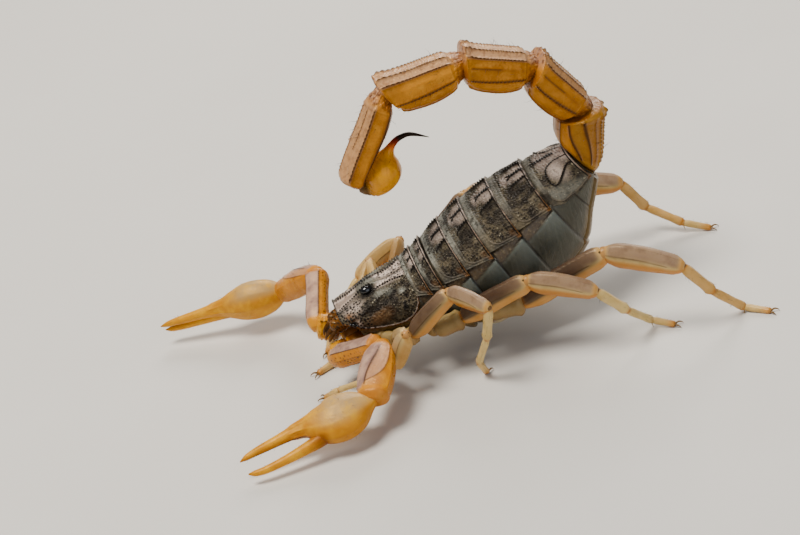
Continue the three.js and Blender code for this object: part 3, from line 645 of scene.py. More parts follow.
def carapace_shape(rows=180, cols=250):
    """The head shield: stations 0 to 4, with a side edge that sags and rounds the rear corner.
    A mound with a brow on each side carries the eyes; beaded keels run from the front past
    the eyes, open like a lyre to the rear and flank it; the front edge is beaded and the side
    edge is a rolled rim."""
    v, u = lattice(rows, cols)
    s = 0.02 + 3.95 * v + 0 * u
    edge = through(*SHIELD_EDGE, s)
    angle = fan(u, edge)
    where = chart(s, np.abs(angle))
    x, y = where[0] * np.sign(u), where[1]
    margin = chart(s, np.radians(edge))[0] - where[0]
    rough = granules(x + 20, y, 0.3, 1)
    fine = granules(x + 40, y, 0.17, 2)
    keel, dark = carinas(where, [
        ([(0.05, 22), (0.5, 15.5), (1.06, 10), (1.5, 6.2), (1.85, 5), (2.2, 6.5)],
         0.26, 0.14, 0.28, 1.5, 0.9),
        ([(1.7, 24), (2.03, 17.5), (2.4, 13), (2.8, 12), (3.3, 13.2), (3.93, 18.5)],
         0.24, 0.14, 0.28, 1.5, 0.8),
        ([(1.2, 63), (1.8, 46), (2.35, 35), (3.07, 29), (3.9, 27)], 0.2, 0.14, 0.3, 0.5),
        ([(2.9, 52), (3.4, 47), (3.9, 47)], 0.16, 0.14, 0.3, 0.6),
        ([(0.1, 46), (0.35, 60), (0.75, 66), (1.15, 60)], 0.16, 0.13, 0.28, 0.6)])
    fold = carinas(where, [
        ([(3.05, 31), (2.65, 44), (2.27, 55), (1.95, 60), (1.6, 66), (1.4, 76)], 0.0, 0.26, 0),
        ([(2.05, 30), (1.75, 34), (1.5, 38), (1.3, 48)], 0.0, 0.2, 0, 0.7)])[1]
    # painted highlight: a pale line along the upper side of the front keels, carried by the tone mark
    lit = carinas(where, [
        ([(0.05, 18), (0.5, 12.5), (1.06, 7.5), (1.5, 4.2)], 0.0, 0.3, 0),
        ([(2.03, 15.5), (2.4, 11), (2.8, 10), (3.3, 11), (3.93, 16)], 0.0, 0.3, 0)])[1]
    mound = 0.2 * hill(x, 0, 1.25) * hill(s, 1.85, 0.62)
    brow_ridge = 0.24 * hill(where[0], 0.5, 0.24) * hill(s, 1.86, 0.42)
    socket = 0.24 * spot(where, 1.82, 12.5, 0.4, 0.55)
    furrow = 0.2 * hill(x, 0, 0.2) * (hill(s, 2.9, 0.7) + 0.7 * hill(s, 1.85, 0.5))
    brow = (1 - rise(where[0], 0.95 - 0.3 * s, 1.3 - 0.35 * s)) * (1 - rise(s, 0.9, 1.7))
    hollow = (spot(where, 1.7, 62, 0.45, 0.9) + spot(where, 2.5, 46, 0.42, 0.8)
              + spot(where, 1.3, 30, 0.5, 0.8) + 0.8 * spot(where, 3.2, 60, 0.9, 0.5))
    front = hill(y, 0.1, 0.11)
    rear = hill(v, 0.975, 0.02) + 0 * u
    side = hill(margin, 0.26, 0.07) * rise(s, 0.8, 1.2)
    lift = mound + brow_ridge - socket - furrow + keel - 0.2 * hollow - 0.1 * brow
    lift = lift - 0.16 * rise(s, 2.2, 3.0) * hill(x, 0, 1.6) - 0.05 * fold
    lift = lift + 0.07 * rough * (1 - 0.9 * brow) + 0.03 * fine + 0.13 * front * beads(x, 0.3)
    lift = lift + 0.09 * rear * beads(x, 0.3) + 0.1 * side
    blots = spot(where, 3.4, 55, 0.35, 0.3) + spot(where, 3.1, 74, 0.5, 0.5) + fold
    scattered = band(s, 0.05, 0.3, 1.2, 1.7) * rise(where[0], 0.9, 1.4)
    crown = (1 - rise(where[0], 0.9, 1.6)) * rise(s, 2.2, 2.6)
    dark = most(dark, 0.9 * front * beads(x, 0.3), 0.5 * rear * (1 - beads(x, 0.3)),
                0.95 * spot(where, 1.84, 13.5, 0.62, 0.95) * rise(where[0], 0.5, 0.75),
                0.9 * spot(where, 0.62, 81, 0.3, 0.42),
                0.8 * np.clip(blots, 0, 1) * (0.7 + 0.3 * waves(x, y, 0.7, 3)),
                0.36 * spot(where, 1.9, 72, 1.3, 1.4) * (1 - rough),
                0.9 * np.maximum(scattered, 0.7 * crown) * (rough > 0.6))
    pale = np.clip(0.48 * brow + 0.95 * hill(where[0], 0.75, 0.62) * rise(s, 2.1, 2.6)
                   + 0.8 * side + 0.7 * spot(where, 1.05, 34, 0.85, 1.2) + 0.7 * lit
                   + 0.5 * spot(where, 0.95, 83, 0.5, 0.3), 0, 1)
    corner = hill(margin, 0.12, 0.24) * rise(s, 3.0, 3.5)
    amber = np.clip(0.85 * corner + 0.6 * spot(where, 0.6, 53, 0.42, 0.4)
                    + 0.9 * rise(-margin, -0.24, -0.14)
                    + 0.6 * spot(where, 1.8, 82, 0.9, 1.6) + 0.4 * spot(where, 0.8, 62, 1.0, 0.8)
                    + 0.36 * brow, 0, 1)
    green = (0.95 * spot(where, 3.3, 42, 0.36, 0.36) + 0.6 * spot(where, 2.25, 27, 0.45, 0.7)
             + 0.7 * hill(where[0], 0.35, 0.4) * hill(s, 1.9, 0.5)
             + 0.5 * spot(where, 2.7, 33, 0.4, 0.6))
    outer = trunk(s, angle, 0.02 + lift)
    inner = trunk(s, angle, -0.26 - 0.2 * hollow)
    grit = rough * (1 - brow) * (1 - 0.6 * spot(where, 1.9, 80, 1.2, 1.6))
    return plate(outer, inner, ridge=dark, rim=amber * (1 - side), tone=pale * (1 - fold),
                 low=np.clip(green, 0, 1), grain=grit)


# Degrees from the crown to the last back plate's side, from its front to its rear
LAST_EDGE = ([0, 0.12, 0.26, 0.5, 0.78, 1.0], [66, 74, 82, 90, 100, 108])


def back_plate_shape(i):
    """Back plate i: from under the plate before it to a thin rolled rear rim. A smooth band
    lies in front; behind it a granulated field is framed by a raised loop that rounds its
    front corners. Three keels rise to the rim; on the last plate the outer pairs are joined
    round the front by an arch."""
    rows, cols = 56 + 4 * i, 220
    v, u = lattice(rows, cols)
    last = i == 6
    first = SHIELD_END + i
    end = TAIL_ROOT if last else (4.93, 5.86, 7.01, 7.97, 9.02, 9.96)[i]
    s = first - 0.12 + (end - first + 0.12) * v + 0 * u
    edge = through(*LAST_EDGE, v) if last else TERGITE_EDGE - 5.0 * (1 - v) ** 1.6 + 3.0 * v**4
    angle = fan(u, edge + 0 * u)
    where = chart(s, np.abs(angle))
    x, y = where[0] * np.sign(u), where[1]
    length = CROWN[first + 1] - CROWN[first] + (2.3 if last else 0)
    margin = chart(s, np.radians(edge + 0 * u))[0] - where[0]
    share = where[0] / (where[0] + margin)
    ahead = y - through(STATIONS, CROWN, first) - (0.12 + 0.012 * i) * length / (1.7 if last else 1)
    bend = 0.9 if i > 1 else 0.5
    a, b = margin - 0.32 - bend, ahead - bend
    inset = np.where((a < 0) & (b < 0), bend - np.hypot(a, b), np.minimum(a, b) + bend)
    field = rise(inset, 0.02, 0.22)
    rear = y - through(STATIONS, CROWN, end)
    loop = hill(inset, 0.0, 0.08) * rise(share, 0.66, 0.92)
    step = hill(inset, 0.0, 0.12) * (1 - rise(share, 0.5, 0.9))
    rough = granules(x + 30, y, 0.3, 20 + i)
    fine = granules(x + 60, y, 0.17, 40 + i)
    if last:
        arch = [(11.95, 15), (11.5, 13.5), (11.1, 14.5), (10.8, 19.5), (10.64, 28), (10.56, 38),
                (10.57, 48), (10.7, 55.5), (10.95, 56.5), (11.25, 51), (11.55, 43.5), (11.78, 41),
                (11.93, 45)]
        middle = [(10.1, 2), (10.35, 0.5), (10.9, 0.5), (11.5, 0.5)]
        ribs = [(middle, 0.32, 0.12, 0.28, 1.3, 0.8), (arch, 0.24, 0.1, 0.28, 1.0, 0.35)]
    else:
        offs = (16, 16, 16, 16.5, 15, 11)[i]
        start = first + 0.42
        ribs = [([(start, 3), (start + 0.16, 0.4), (end + 0.03, 0.3)], 0.36, 0.13, 0.3, 1.3),
                ([(start - 0.04, offs + 8), (start + 0.12, offs + 2.5), (end + 0.03, offs)],
                 0.46, 0.13, 0.3, 1.3)]
    keel, dark = carinas(where, ribs)
    shade = np.clip(1.15 * dark, 0, 1)
    rim = hill(rear, -0.07, 0.06)
    groove = hill(rear, -0.2, 0.07)
    corner = rise(-margin, -0.55, -0.1) * rise(rear, -0.6, -0.25)
    grit = (0.25 + 0.75 * field) * (1 - 0.8 * shade)
    if last:
        grit = grit * (1 - 0.6 * rise(share, 0.3, 0.6))
    lift = 0.18 * v**2 + 0.07 * rim - 0.06 * groove - 0.22 * (1 - rise(v, 0.0, 0.12)) + keel
    lift = lift + 0.05 * loop + 0.04 * step + grit * (0.1 * rough + 0.02 * fine)
    lift = lift + 0.04 * waves(x, y, 2.2, i) - 0.02 * hill(inset, -0.2, 0.12)
    lift = lift + 0.05 * rise(-margin, -0.16, -0.04) - 0.2 * rise(v, 0.985, 1.0)
    core = (0.3, 0.35, 0.35, 0.85, 0.9, 1.0, 0.0)[i] * rise(ahead, 0.3, 0.9)
    core = core * hill(share, 0.48, 0.32 if i == 5 else 0.24)
    core = core * np.clip(0.75 + 0.5 * waves(x, y, 1.5, 50 + i), 0, 1.1)
    # painted shade: the groove before the rear rim and the lip that turns down behind it are darkened
    dark = most(dark, 0.85 * groove * (1 - corner), 0.8 * rise(rear, -0.03, 0.02), 0.56 * core,
                0.3 * hill(inset, -0.15, 0.08) * rise(share, 0.5, 0.8))
    crest = np.clip(hill(x, 0, 1.5 if last else 1.0) * rise(ahead, 0.25, 0.7), 0, 1)
    lilac = spot(where, end - 0.2, 8, 0.7, 0.55)
    if last:
        lilac = lilac + spot(where, 11.1, 36, 1.2, 0.9)
    tone = 0.2 * loop + 0.68 * crest + (0.7 if last else 0.55) * lilac
    tone = tone + 0.5 * rim * (1 - rise(share, 0.6, 0.9))
    tone = np.clip(tone * (1 - 0.9 * shade), 0, 1)
    fall = (1 - 0.75 * rise(share, 0.4, 0.8)) * (1.0, 1.0, 1.0, 0.9, 0.75, 0.44, 0.6)[i]
    haze = (0.5, 0.5, 0.55, 0.5, 0.42, 0.25, 0.0)[i] * field * (1 - rise(ahead, 0.2, 0.62 * length))
    haze = haze * (0.35 + 0.65 * rough)
    smooth = (1 - field + haze) * rise(v, 0.02, 0.1) * fall * (0.8 + 0.2 * rough)
    smooth = smooth + (0.42 * rise(where[0], 3.2, 5.0) * field if last else 0)
    glow = 0.42 * hill(margin, 0.75, 0.5) * hill(rear, -0.5, 0.5) * (not last)
    return plate(trunk(s, angle, lift), trunk(s, angle, -PLATE_DEPTH), ridge=dark, tone=tone,
                 rim=np.clip(0.55 * rim * rise(share, 0.2, 0.6) + 0.75 * corner + glow, 0, 1),
                 grain=rough * (0.35 + 0.65 * field) * (1 - 0.6 * core), low=np.clip(smooth, 0, 1))


def belly_plate_shape(i, rows=44, cols=120):
    """Belly plate i: smooth, sunk at the front, a thin rear rim; a breathing slit on each side
    of the first four, and four faint keels on the fifth."""
    v, u = lattice(rows, cols)
    first = 6 + i
    last = 11.95 if i == 4 else 7.04 + i
    s = first - 0.04 + (last - first + 0.04) * v + 0 * u
    angle = fan(u, STERNITE_EDGE - 3 * (1 - v) + 0 * u, np.pi)
    half = through(STATIONS, TRUNK[:, 3], s)
    across = np.abs(np.sin(angle)) ** BELLY_POWER * half
    rim = hill(v, 0.96, 0.03) + 0 * u
    lift = -0.14 * (1 - rise(v, 0, 0.16)) + 0.1 * v**2 + 0.04 * rim
    lift = lift + 0.03 * waves(across, 3 * v, 3.0, i)
    dark = 0.6 * hill(v, 0.99, 0.015) + 0 * u
    if i < 4:
        slit = hill((across - 0.58 * half) * 0.8 + (v - 0.5) * 1.2, 0, 0.11)
        slit = slit * hill(across, 0.58 * half, 0.42)
        lift, dark = lift - 0.12 * slit, np.maximum(dark, slit)
    else:
        span = band(v, 0.2, 0.4, 0.8, 0.95)
        for centre in (0.25 * half, 0.62 * half):
            lift = lift + 0.1 * hill(across, centre, 0.14) * span * beads(4 * v, 0.3)
            dark = np.maximum(dark, 0.6 * hill(across, centre, 0.1) * span)
    grey = np.clip(rise(np.abs(u), 0.5, 0.85) + 0.12 * i, 0, 1) + 0 * v
    sunk = 0.42 * rise(np.abs(u), 0.8, 0.98)
    outer, inner = trunk(s, angle, lift + 0.02 - sunk), trunk(s, angle, -0.32 - sunk)
    edge = 0.85 * rise(np.abs(u), 0.84, 0.97) + 0 * v
    return plate(outer, inner, ridge=dark, rim=np.maximum(0.8 * rim, edge), tone=grey)


def body_skin_shape(rows=340, cols=200):
    """The soft body from the mouth to the tail root as one skin, sunk under the plates. Each
    segment's side is a panel that swells to its rear, tucks under a crease that runs straight
    down, and is parted by a slanting crease from a narrow brown strip along the back plate.
    On the underside of the head four pairs of coxae swell between seams."""
    v = np.linspace(0, 1, rows)[:, None]
    angle = np.linspace(-np.pi, np.pi, cols, endpoint=False)[None, :] + 0 * v
    s = 0.72 + 11.4 * v + 0 * angle
    off = np.degrees(np.abs(angle))
    part = np.mod(s, 1.0)
    behind = rise(s, 3.9, 4.1)
    shield = through(*SHIELD_EDGE, np.clip(s, 0, 3.99))
    tail_side = through(*LAST_EDGE, (s - 10) / 2) - TERGITE_EDGE + 3
    top = np.where(s > 4.05, 66 + np.where(s > 10, tail_side, 0), shield - 5)
    plated = 1 - rise(off, top - 3, top + 3)
    ventral = rise(off, 129, 138) * rise(s, 5.9, 6.05)
    open_side = (1 - plated) * (1 - ventral)
    slant = np.where(s > 10, 200.0, 82 - 9 * part)
    below = rise(off, slant - 1, slant + 2.5)
    across = through(STATIONS, TRUNK[:, 3], s) * np.abs(angle)
    along = s * 2.3
    swell = (0.24 * rise(part, 0.0, 0.9) ** 1.2 * below + 0.1 * below - 0.3 * rise(part, 0.955, 0.99))
    fold = 0.012 * waves(across * 0.35, along * 1.6, 0.6, 5) + 0.03 * waves(across, along, 2.4, 9)
    lift = open_side * behind * (swell + fold - 0.1)
    # coxae: panels between seams that run outwards and back from the breast line
    under = rise(off, 104, 114) * (1 - rise(s, 5.75, 6.0))
    seam = np.mod((s - 0.6) * 0.82 + 0.012 * (180 - off), 1.0)
    panel = np.sin(np.pi * seam) ** 0.5
    line = hill(off, 180, 5.5)
    lift = lift + under * (0.42 * panel - 0.26 - 0.3 * line)
    lift = lift - 0.42 * plated - 0.42 * ventral
    # painted shade: the folds and the slanting crease of each side panel are darkened
    crease = open_side * behind * (hill(part, 0.985, 0.016) + hill(part, 0.0, 0.05))
    crease = crease + 0.7 * open_side * behind * hill(off, slant, 1.4) * (s < 9.95)
    # painted highlight: a wet sheen that grows towards the rear of each side panel and fades down the
    # side, with a thin line of it before each fold
    fall = 1 - 0.75 * rise(off, 84, 112)
    sheen = 0.62 * open_side * behind * below * rise(part, 0.15, 0.9) * fall
    sheen = sheen + 0.25 * open_side * behind * below * hill(part, 0.945, 0.02)
    cheek = (1 - behind) * rise(off, 90, 100)
    low = np.clip(0.5 * rise(off, 112, 130) * behind + 0.9 * np.maximum(under, cheek), 0, 1)
    strip = behind * (1 - below) * (s < 10.0) * 0.85 + 0.5 * (1 - behind) * (1 - rise(off, 118, 124))
    # the ridge mark: painted shade in the creases and in the seams between the coxae
    dark = np.maximum(0.85 * crease, under * 0.7 * (1 - rise(panel, 0.0, 0.4)))
    points = trunk(s, angle, lift)
    return sleeve(points, ridge=dark, rim=sheen, low=low, tone=strip)


piece("carapace_shield", [carapace_shape()], back_shell, "shell", "carapace")
for i in range(7):
    piece("back_plate_%d_shell" % (i + 1), [back_plate_shape(i)], back_shell, "shell",
          "back_plate_%d" % (i + 1))
for i in range(5):
    piece("belly_plate_%d_shell" % (i + 1), [belly_plate_shape(i)], belly_shell, "belly",
          "belly_plate_%d" % (i + 1))
piece("body_skin", [body_skin_shape()], side_skin, "membrane", "trunk_body", "prosoma_body")


# ------------------------------------------------------------------ sweeps
def sweep(path, wide, high, hint, rows=60, cols=48, power=1.0, keel_rows=(), pinch=0.0,
          lift=None, paint=None):
    """A ring carried along a smooth path. path is (knots, points); wide and high are
    (knots, half sizes). Ring: across is sine to the power times wide, narrowed downwards by
    pinch; up is cosine to the power times high. keel_rows are keels; lift and paint are
    functions of (t, angle) for extra height and for the marks."""
    knots, points = path
    t = np.linspace(knots[0], knots[-1], rows)
    centre = through(knots, points, t)
    axis = unit(np.gradient(centre, t, axis=0))
    side = unit(np.cross(axis, hint))
    up = np.cross(side, axis)
    angle = np.linspace(0, 2 * np.pi, cols, endpoint=False)[None, :]
    tt = t[:, None] + 0 * angle
    around = angle + 0 * tt
    length = float(np.linalg.norm(np.diff(centre, axis=0), axis=1).sum()) / (knots[-1] - knots[0])
    grow, dark = keels(around, tt, length, keel_rows)
    if lift:
        grow = grow + lift(tt, around)
    s, c = np.sin(angle), np.cos(angle)
    w = (through(*wide, t)[:, None] + grow) * np.sign(s) * np.abs(s) ** power * (1 + pinch * c)
    h = (through(*high, t)[:, None] + grow) * np.sign(c) * np.abs(c) ** power
    ring = centre[:, None] + side[:, None] * w[..., None] + up[:, None] * h[..., None]
    marks = {"ridge": dark}
    if paint:
        for key, value in paint(tt, around).items():
            marks[key] = np.maximum(marks[key], value) if key in marks else value
    return sleeve(ring, **marks)


# sleeves that carry setae, by the coat that they belong to
HAIRY = {"tail": [], "leg": [], "claw": []}


def hairy(family, shape, rows, cols, count, length, lean, upper=-2.0, radius=0.02):
    """Notes a sleeve of rows by cols points as one that carries setae."""
    grid = shape[0][:rows * cols].reshape(rows, cols, 3)
    HAIRY[family].append((grid, count, length, lean, upper, radius))
    return shape


def horn(points, radii, rows=18, cols=10, **marks):
    """A tapered spine: a round ring carried through the points, its radius through the radii."""
    knots = np.linspace(0, 1, len(points))
    size = (np.linspace(0, 1, len(radii)), radii)
    return sweep((knots, points), size, size, (0, 0, 1), rows, cols,
                 paint=lambda t, a: {k: m + 0 * t for k, m in marks.items()})


def dome(centre, radius, rows=12, cols=18, squash=(1, 1, 1), **marks):
    """A ball: rings whose radius is the sine and whose height is the cosine of the way down."""
    down = np.linspace(0.02, np.pi - 0.02, rows)[:, None]
    turn = np.linspace(0, 2 * np.pi, cols, endpoint=False)[None, :]
    ball = np.stack([np.sin(down) * np.cos(turn), np.sin(down) * np.sin(turn),
                     np.cos(down) + 0 * turn], -1)
    return sleeve(np.asarray(centre) + radius * np.asarray(squash) * ball, **marks)


# ------------------------------------------------------------------ eyes and mouth
for side, label in SIDES:
    seat = EYE_SEAT * (side, 1, 1) + (side * 0.04, 0.06, -0.13)
    lens = dome(seat, EYE_RADIUS, 24, 36, (0.92, 1.24, 0.92))
    piece("median_eye_%s_lens" % label, [lens], eye_lens, "eye", "median_eye_%s" % label)
    small = [dome(trunk(np.array(at), side * np.radians(turn), 0.05), size, 12, 18)
             for at, turn, size in ((0.46, 78, 0.16), (0.62, 82, 0.18), (0.78, 87, 0.14),
                                    (0.6, 87.5, 0.09))]
    piece("side_eyes_%s_lenses" % label, small, eye_lens, "eye")


def jaw_grain(t, a):
    """Coarse grains strewn along and round a jaw."""
    return granules(a * 0.8 + 3, t * 2.9, 0.3, 3)


def jaw_shapes(side):
    """A chelicera: a swollen base, a fixed and a moving finger that hook down, and three
    teeth between them."""
    x = side * 0.72
    shares = [0, 0.2, 0.6, 0.9, 1]
    body = sweep(([0, 0.4, 1.0], [(x, -2.2, 6.7), (x, -3.5, 6.45), (x * 0.98, -4.9, 5.85)]),
                 (shares, [0.5, 0.64, 0.66, 0.5, 0.22]), (shares, [0.55, 0.8, 0.86, 0.6, 0.25]),
                 (0, 0, 1), 46, 40, lift=lambda t, a: 0.06 * jaw_grain(t, a),
                 paint=lambda t, a: {"ridge": 0.9 * (jaw_grain(t, a) > 0.55),
                                     "grain": jaw_grain(t, a)})
    fixed = horn([(x - side * 0.1, -4.6, 6.0), (x - side * 0.05, -5.15, 5.75),
                  (x - side * 0.1, -5.6, 5.3), (x - side * 0.14, -5.75, 4.85)],
                 [0.3, 0.24, 0.15, 0.04], tone=0.1, ridge=0.4)
    moving = horn([(x + side * 0.18, -4.5, 5.75), (x + side * 0.3, -5.05, 5.4),
                   (x + side * 0.22, -5.4, 4.95), (x + side * 0.02, -5.5, 4.6)],
                  [0.3, 0.22, 0.15, 0.04], tone=0.1, ridge=0.4)
    teeth = [horn([(x + side * 0.1, -4.95 - 0.18 * k, 5.5 - 0.22 * k),
                   (x + side * 0.06, -5.1 - 0.18 * k, 5.3 - 0.22 * k)], [0.09, 0.02], rows=5, cols=6,
                  ridge=0.8) for k in range(3)]
    return [body, fixed, moving] + teeth


for side, label in SIDES:
    piece("chelicera_%s_jaw" % label, jaw_shapes(side), jaw_shell, "straw", "chelicera_%s" % label)


# ------------------------------------------------------------------ pectines
def comb_shapes(side):
    """A sense comb: a slim blade that sweeps out and back under the belly, with a row of
    rounded teeth along its rear edge."""
    v, w = lattice(60, 14, 0, 1, 0, 1)
    teeth = 26

    def surface(v, w, out):
        """Point of the comb at v along it and w across it, out mm off the belly."""
        s = 5.9 + 1.0 * v + w * 0.3 * (1 - 0.5 * v * v)
        return trunk(s, np.pi - side * np.radians(13.85) * (0.35 + 2.75 * v), out)
    swell = 0.1 * np.sin(np.pi * w) ** 0.5 + 0.02 * np.sin(v * 60) * np.sin(np.pi * w)
    shapes = [plate(surface(v, w, 0.42 + swell), surface(v, w, 0.14 + 0 * (v + w)),
                    ridge=0.5 * hill(w, 0.55, 0.06) + 0 * v)]
    for k in range(teeth):
        t = (k + 0.5) / teeth
        root, tip = surface(t, 0.85, 0.3), surface(t, 1.75, 0.36)
        middle = 0.5 * (root + tip) + (0, 0, -0.04)
        shapes.append(horn([root, middle, tip], [0.07, 0.085, 0.045], rows=6, cols=8))
    return shapes


for side, label in SIDES:
    piece("pectine_%s_comb" % label, comb_shapes(side), comb_shell, "straw", "pectine_%s" % label)


# ------------------------------------------------------------------ tail
root = trunk(np.full(2, TAIL_ROOT), np.array([0.0, np.pi])).sum(0) / 2
pitches = np.radians(TAIL[:, 1])
steps = np.stack([0 * pitches, np.cos(pitches), np.sin(pitches)], -1) * TAIL[:, :1]
JOINTS = np.concatenate([root[None], root + np.cumsum(steps, axis=0)])
TAIL_FORM = (  # t, then shares of the width, the outer reach and the inner reach
    [-0.03, 0.04, 0.1, 0.16, 0.3, 0.6, 0.86, 0.95, 0.985, 1.0],
    [[0.6, 0.6, 0.5], [0.68, 0.7, 0.58], [0.78, 0.78, 0.68], [0.92, 0.92, 0.82], [0.97, 0.97, 1.0],
     [1, 1, 1.08], [1.02, 1.04, 0.9], [1.03, 1.08, 0.74], [0.98, 1.02, 0.66], [0.7, 0.7, 0.48]])
FIRST_FORM = ([0, 0.1, 0.22, 0.4, 0.64, 0.86, 0.95, 0.98, 1.0],
              [[0.66, 0.74, 0.5], [0.86, 0.9, 0.66], [0.95, 0.96, 0.8], [0.99, 0.98, 0.95],
               [1, 1, 1.02], [1.02, 1.03, 0.98], [1.02, 1.06, 0.9], [0.9, 0.9, 0.75],
               [0.66, 0.66, 0.5]])
LAST_FORM = ([-0.03, 0.05, 0.12, 0.3, 0.6, 0.86, 0.97, 1.0],
             [[0.54, 0.52, 0.5], [0.66, 0.66, 0.5], [0.86, 0.88, 0.66], [1, 1, 0.8], [1, 1.04, 0.6],
              [0.94, 1, 0.42], [0.84, 0.86, 0.34], [0.6, 0.6, 0.26]])
# degrees from the outer midline, height, width in degrees, start, end, bead spacing, darkness
TAIL_KEELS = [(15, 0.2, 4.6, 0.1, 0.985, 0.34, 1.0), (46, 0.24, 4.6, 0.1, 0.985, 0.34, 1.0),
              ((98, 106), 0.17, 4.6, 0.08, 0.98, 0.36, 0.9),
              ((146, 152), 0.14, 4.0, 0.08, 0.96, 0.0, 0.7)]
PARTIAL_KEEL = (76, 0.08, 4.4, 0.45, 0.95, 0.0, 0.6)
FIRST_KEELS = [(15, 0.2, 4.6, 0.12, 0.965, 0.34, 1.0),
               ((36, 44), 0.18, 4.4, 0.1, 0.965, 0.34, 0.8),
               ((58, 66), 0.07, 3.4, 0.14, 0.93, 0.24, 0.5),
               ((76, 94), 0.13, 4.2, 0.1, 0.97, 0.0, 0.95),
               ((102, 128), 0.15, 4.2, 0.1, 0.95, 0.0, 0.95),
               (152, 0.12, 4.0, 0.08, 0.93, 0.0, 0.7)]
LAST_KEELS = [(0, 0.12, 4.0, 0.1, 0.92, 0.36, 0.9), (28, 0.12, 4.0, 0.1, 0.6, 0.36, 0.8),
              (60, 0.24, 5.0, 0.08, 0.95, 0.44, 1.0), (118, 0.14, 9.0, 0.04, 0.97, 0.0, 1.0)]
TAIL_GRID = (150, 208)  # rows and columns of a tail length's sleeve


def tail_shape(i, rows, cols):
    """Tail length i: a squared ring carried from joint to joint in the midline plane, from a
    smooth neck to a flared end. Beaded keels run along it and end in a raised tooth, the faces
    between them are slightly hollowed, and the inner face swells out below its keels."""
    length, pitch, half, outer, inner = TAIL[i]
    before = TAIL[max(i - 1, 0), 1]
    after = TAIL[min(i + 1, 4), 1]
    form = FIRST_FORM if i == 0 else LAST_FORM if i == 4 else TAIL_FORM
    t = np.linspace(form[0][0], 1, rows)
    angle = np.linspace(0, 2 * np.pi, cols, endpoint=False)[None, :]
    if i == 0:
        lean = through([0, 0.14, 0.36, 0.62, 0.9, 1], [34, 47, 66, 77, 80, (pitch + after) / 2], t)
    else:
        lean = through([0, 0.14, 0.85, 1], [(before + pitch) / 2, pitch, pitch, (pitch + after) / 2], t)
    lean = np.radians(lean)[:, None]
    share = through(*form, t)[:, None, :]
    own = [FIRST_KEELS, TAIL_KEELS + [PARTIAL_KEEL], TAIL_KEELS + [PARTIAL_KEEL],
           TAIL_KEELS, LAST_KEELS][i]
    tt = t[:, None] + 0 * angle
    lift, dark = keels(angle + 0 * tt, tt, length, mirrored(own))
    body = band(tt, 0.1, 0.2, 0.9, 0.96)
    off = np.degrees(np.abs(turned(angle))) + 0 * tt
    hollow = sum(hill(off, at, 12) for at in ((30, 50, 70, 100) if i == 0 else (30, 64, 84)))
    grain = granules(off * 0.035 + 3, tt * length, 0.34, 60 + i, 0.4) * (off < 118)
    belly = hill(off, 134, 20) * hill(tt, 0.5, 0.3)
    lift = lift - 0.12 * hollow * body + 0.02 * grain * body + 0.14 * belly
    neck = hill(tt, 0.145, 0.014) * (i > 0)
    collar = hill(tt, 0.975, 0.014)
    ends = np.clip((1 - rise(tt, 0.08, 0.14)) * (i > 0) + rise(tt, 0.955, 0.985), 0, 1)
    lumps = granules(off * 0.032 + 9, tt * length, 0.5, 80 + i, 0.6) * ends
    lift = lift + 0.05 * collar + 0.05 * neck + 0.14 * lumps
    s, c = np.sin(angle), np.cos(angle)
    power = 0.85
    across = np.sign(s) * np.abs(s) ** power * (half * share[..., 0] + lift)
    reach = np.where(c > 0, outer * share[..., 1], inner * share[..., 2]) + lift
    reach = reach * np.sign(c) * np.abs(c) ** power
    centre = JOINTS[i] + t[:, None] * (JOINTS[i + 1] - JOINTS[i])
    y = centre[:, 1:2] + np.sin(lean) * reach
    z = centre[:, 2:3] - np.cos(lean) * reach
    points = np.stack([across + 0 * y, y, z], -1)
    border = 62 if i == 4 else 47
    pink = (0.0, 0.75, 1.0, 1.0, 0.85)[i] * (1 - rise(off, border, border + 5))
    olive = (i == 0) * (1 - rise(off, 112, 125))
    dark = np.maximum(dark, 0.3 * neck)
    # painted shade, sent out as the grain mark: the neck where it tucks under the length before, the
    # inner sides of the joints, the faces beside the keels, the swollen inner face, and the inner side of
    # the last length
    under = 0.8 * (i > 0) * (1 - rise(tt, 0.02, 0.1)) * rise(off, 30, 80)
    inner_end = np.maximum(ends * rise(off, 50, 98), under)
    if i == 0:
        dark = np.maximum(dark, 0.8 * hill(tt, 0.03, 0.03))
    shadow, wide = (sum(hill(off, a + (b - a) * rise(tt, 0, 1), width)
                        for a, b in (swing(row[0]) for row in own)) * body for width in (10, 18))
    shade = np.maximum(0.8 * shadow, 0.42 * wide) * rise(off, border - 6, border)
    shade = shade + 0.95 * inner_end + 0.3 * belly * (i > 0)
    if i == 4:
        shade = shade + 0.25 * rise(off, border, border + 6) + 0.6 * rise(off, 92, 124)
    return sleeve(points, ridge=dark * (1 - 0.4 * ends), tone=np.clip(pink, 0, 1) * (1 - ends),
                  rim=ends * (1 - inner_end) * (0.7 + 0.3 * lumps) * (1 - 0.5 * rise(off, 30, 70)),
                  grain=np.clip(shade, 0, 1), low=0.7 * olive)


for i in range(5):
    length_shape = hairy("tail", tail_shape(i, *TAIL_GRID), *TAIL_GRID, 34, 1.0, 0.5, -2.0, 0.022)
    piece("tail_length_%d_shell" % (i + 1), [length_shape], amber_shell, "amber",
          "tail_length_%d" % (i + 1))

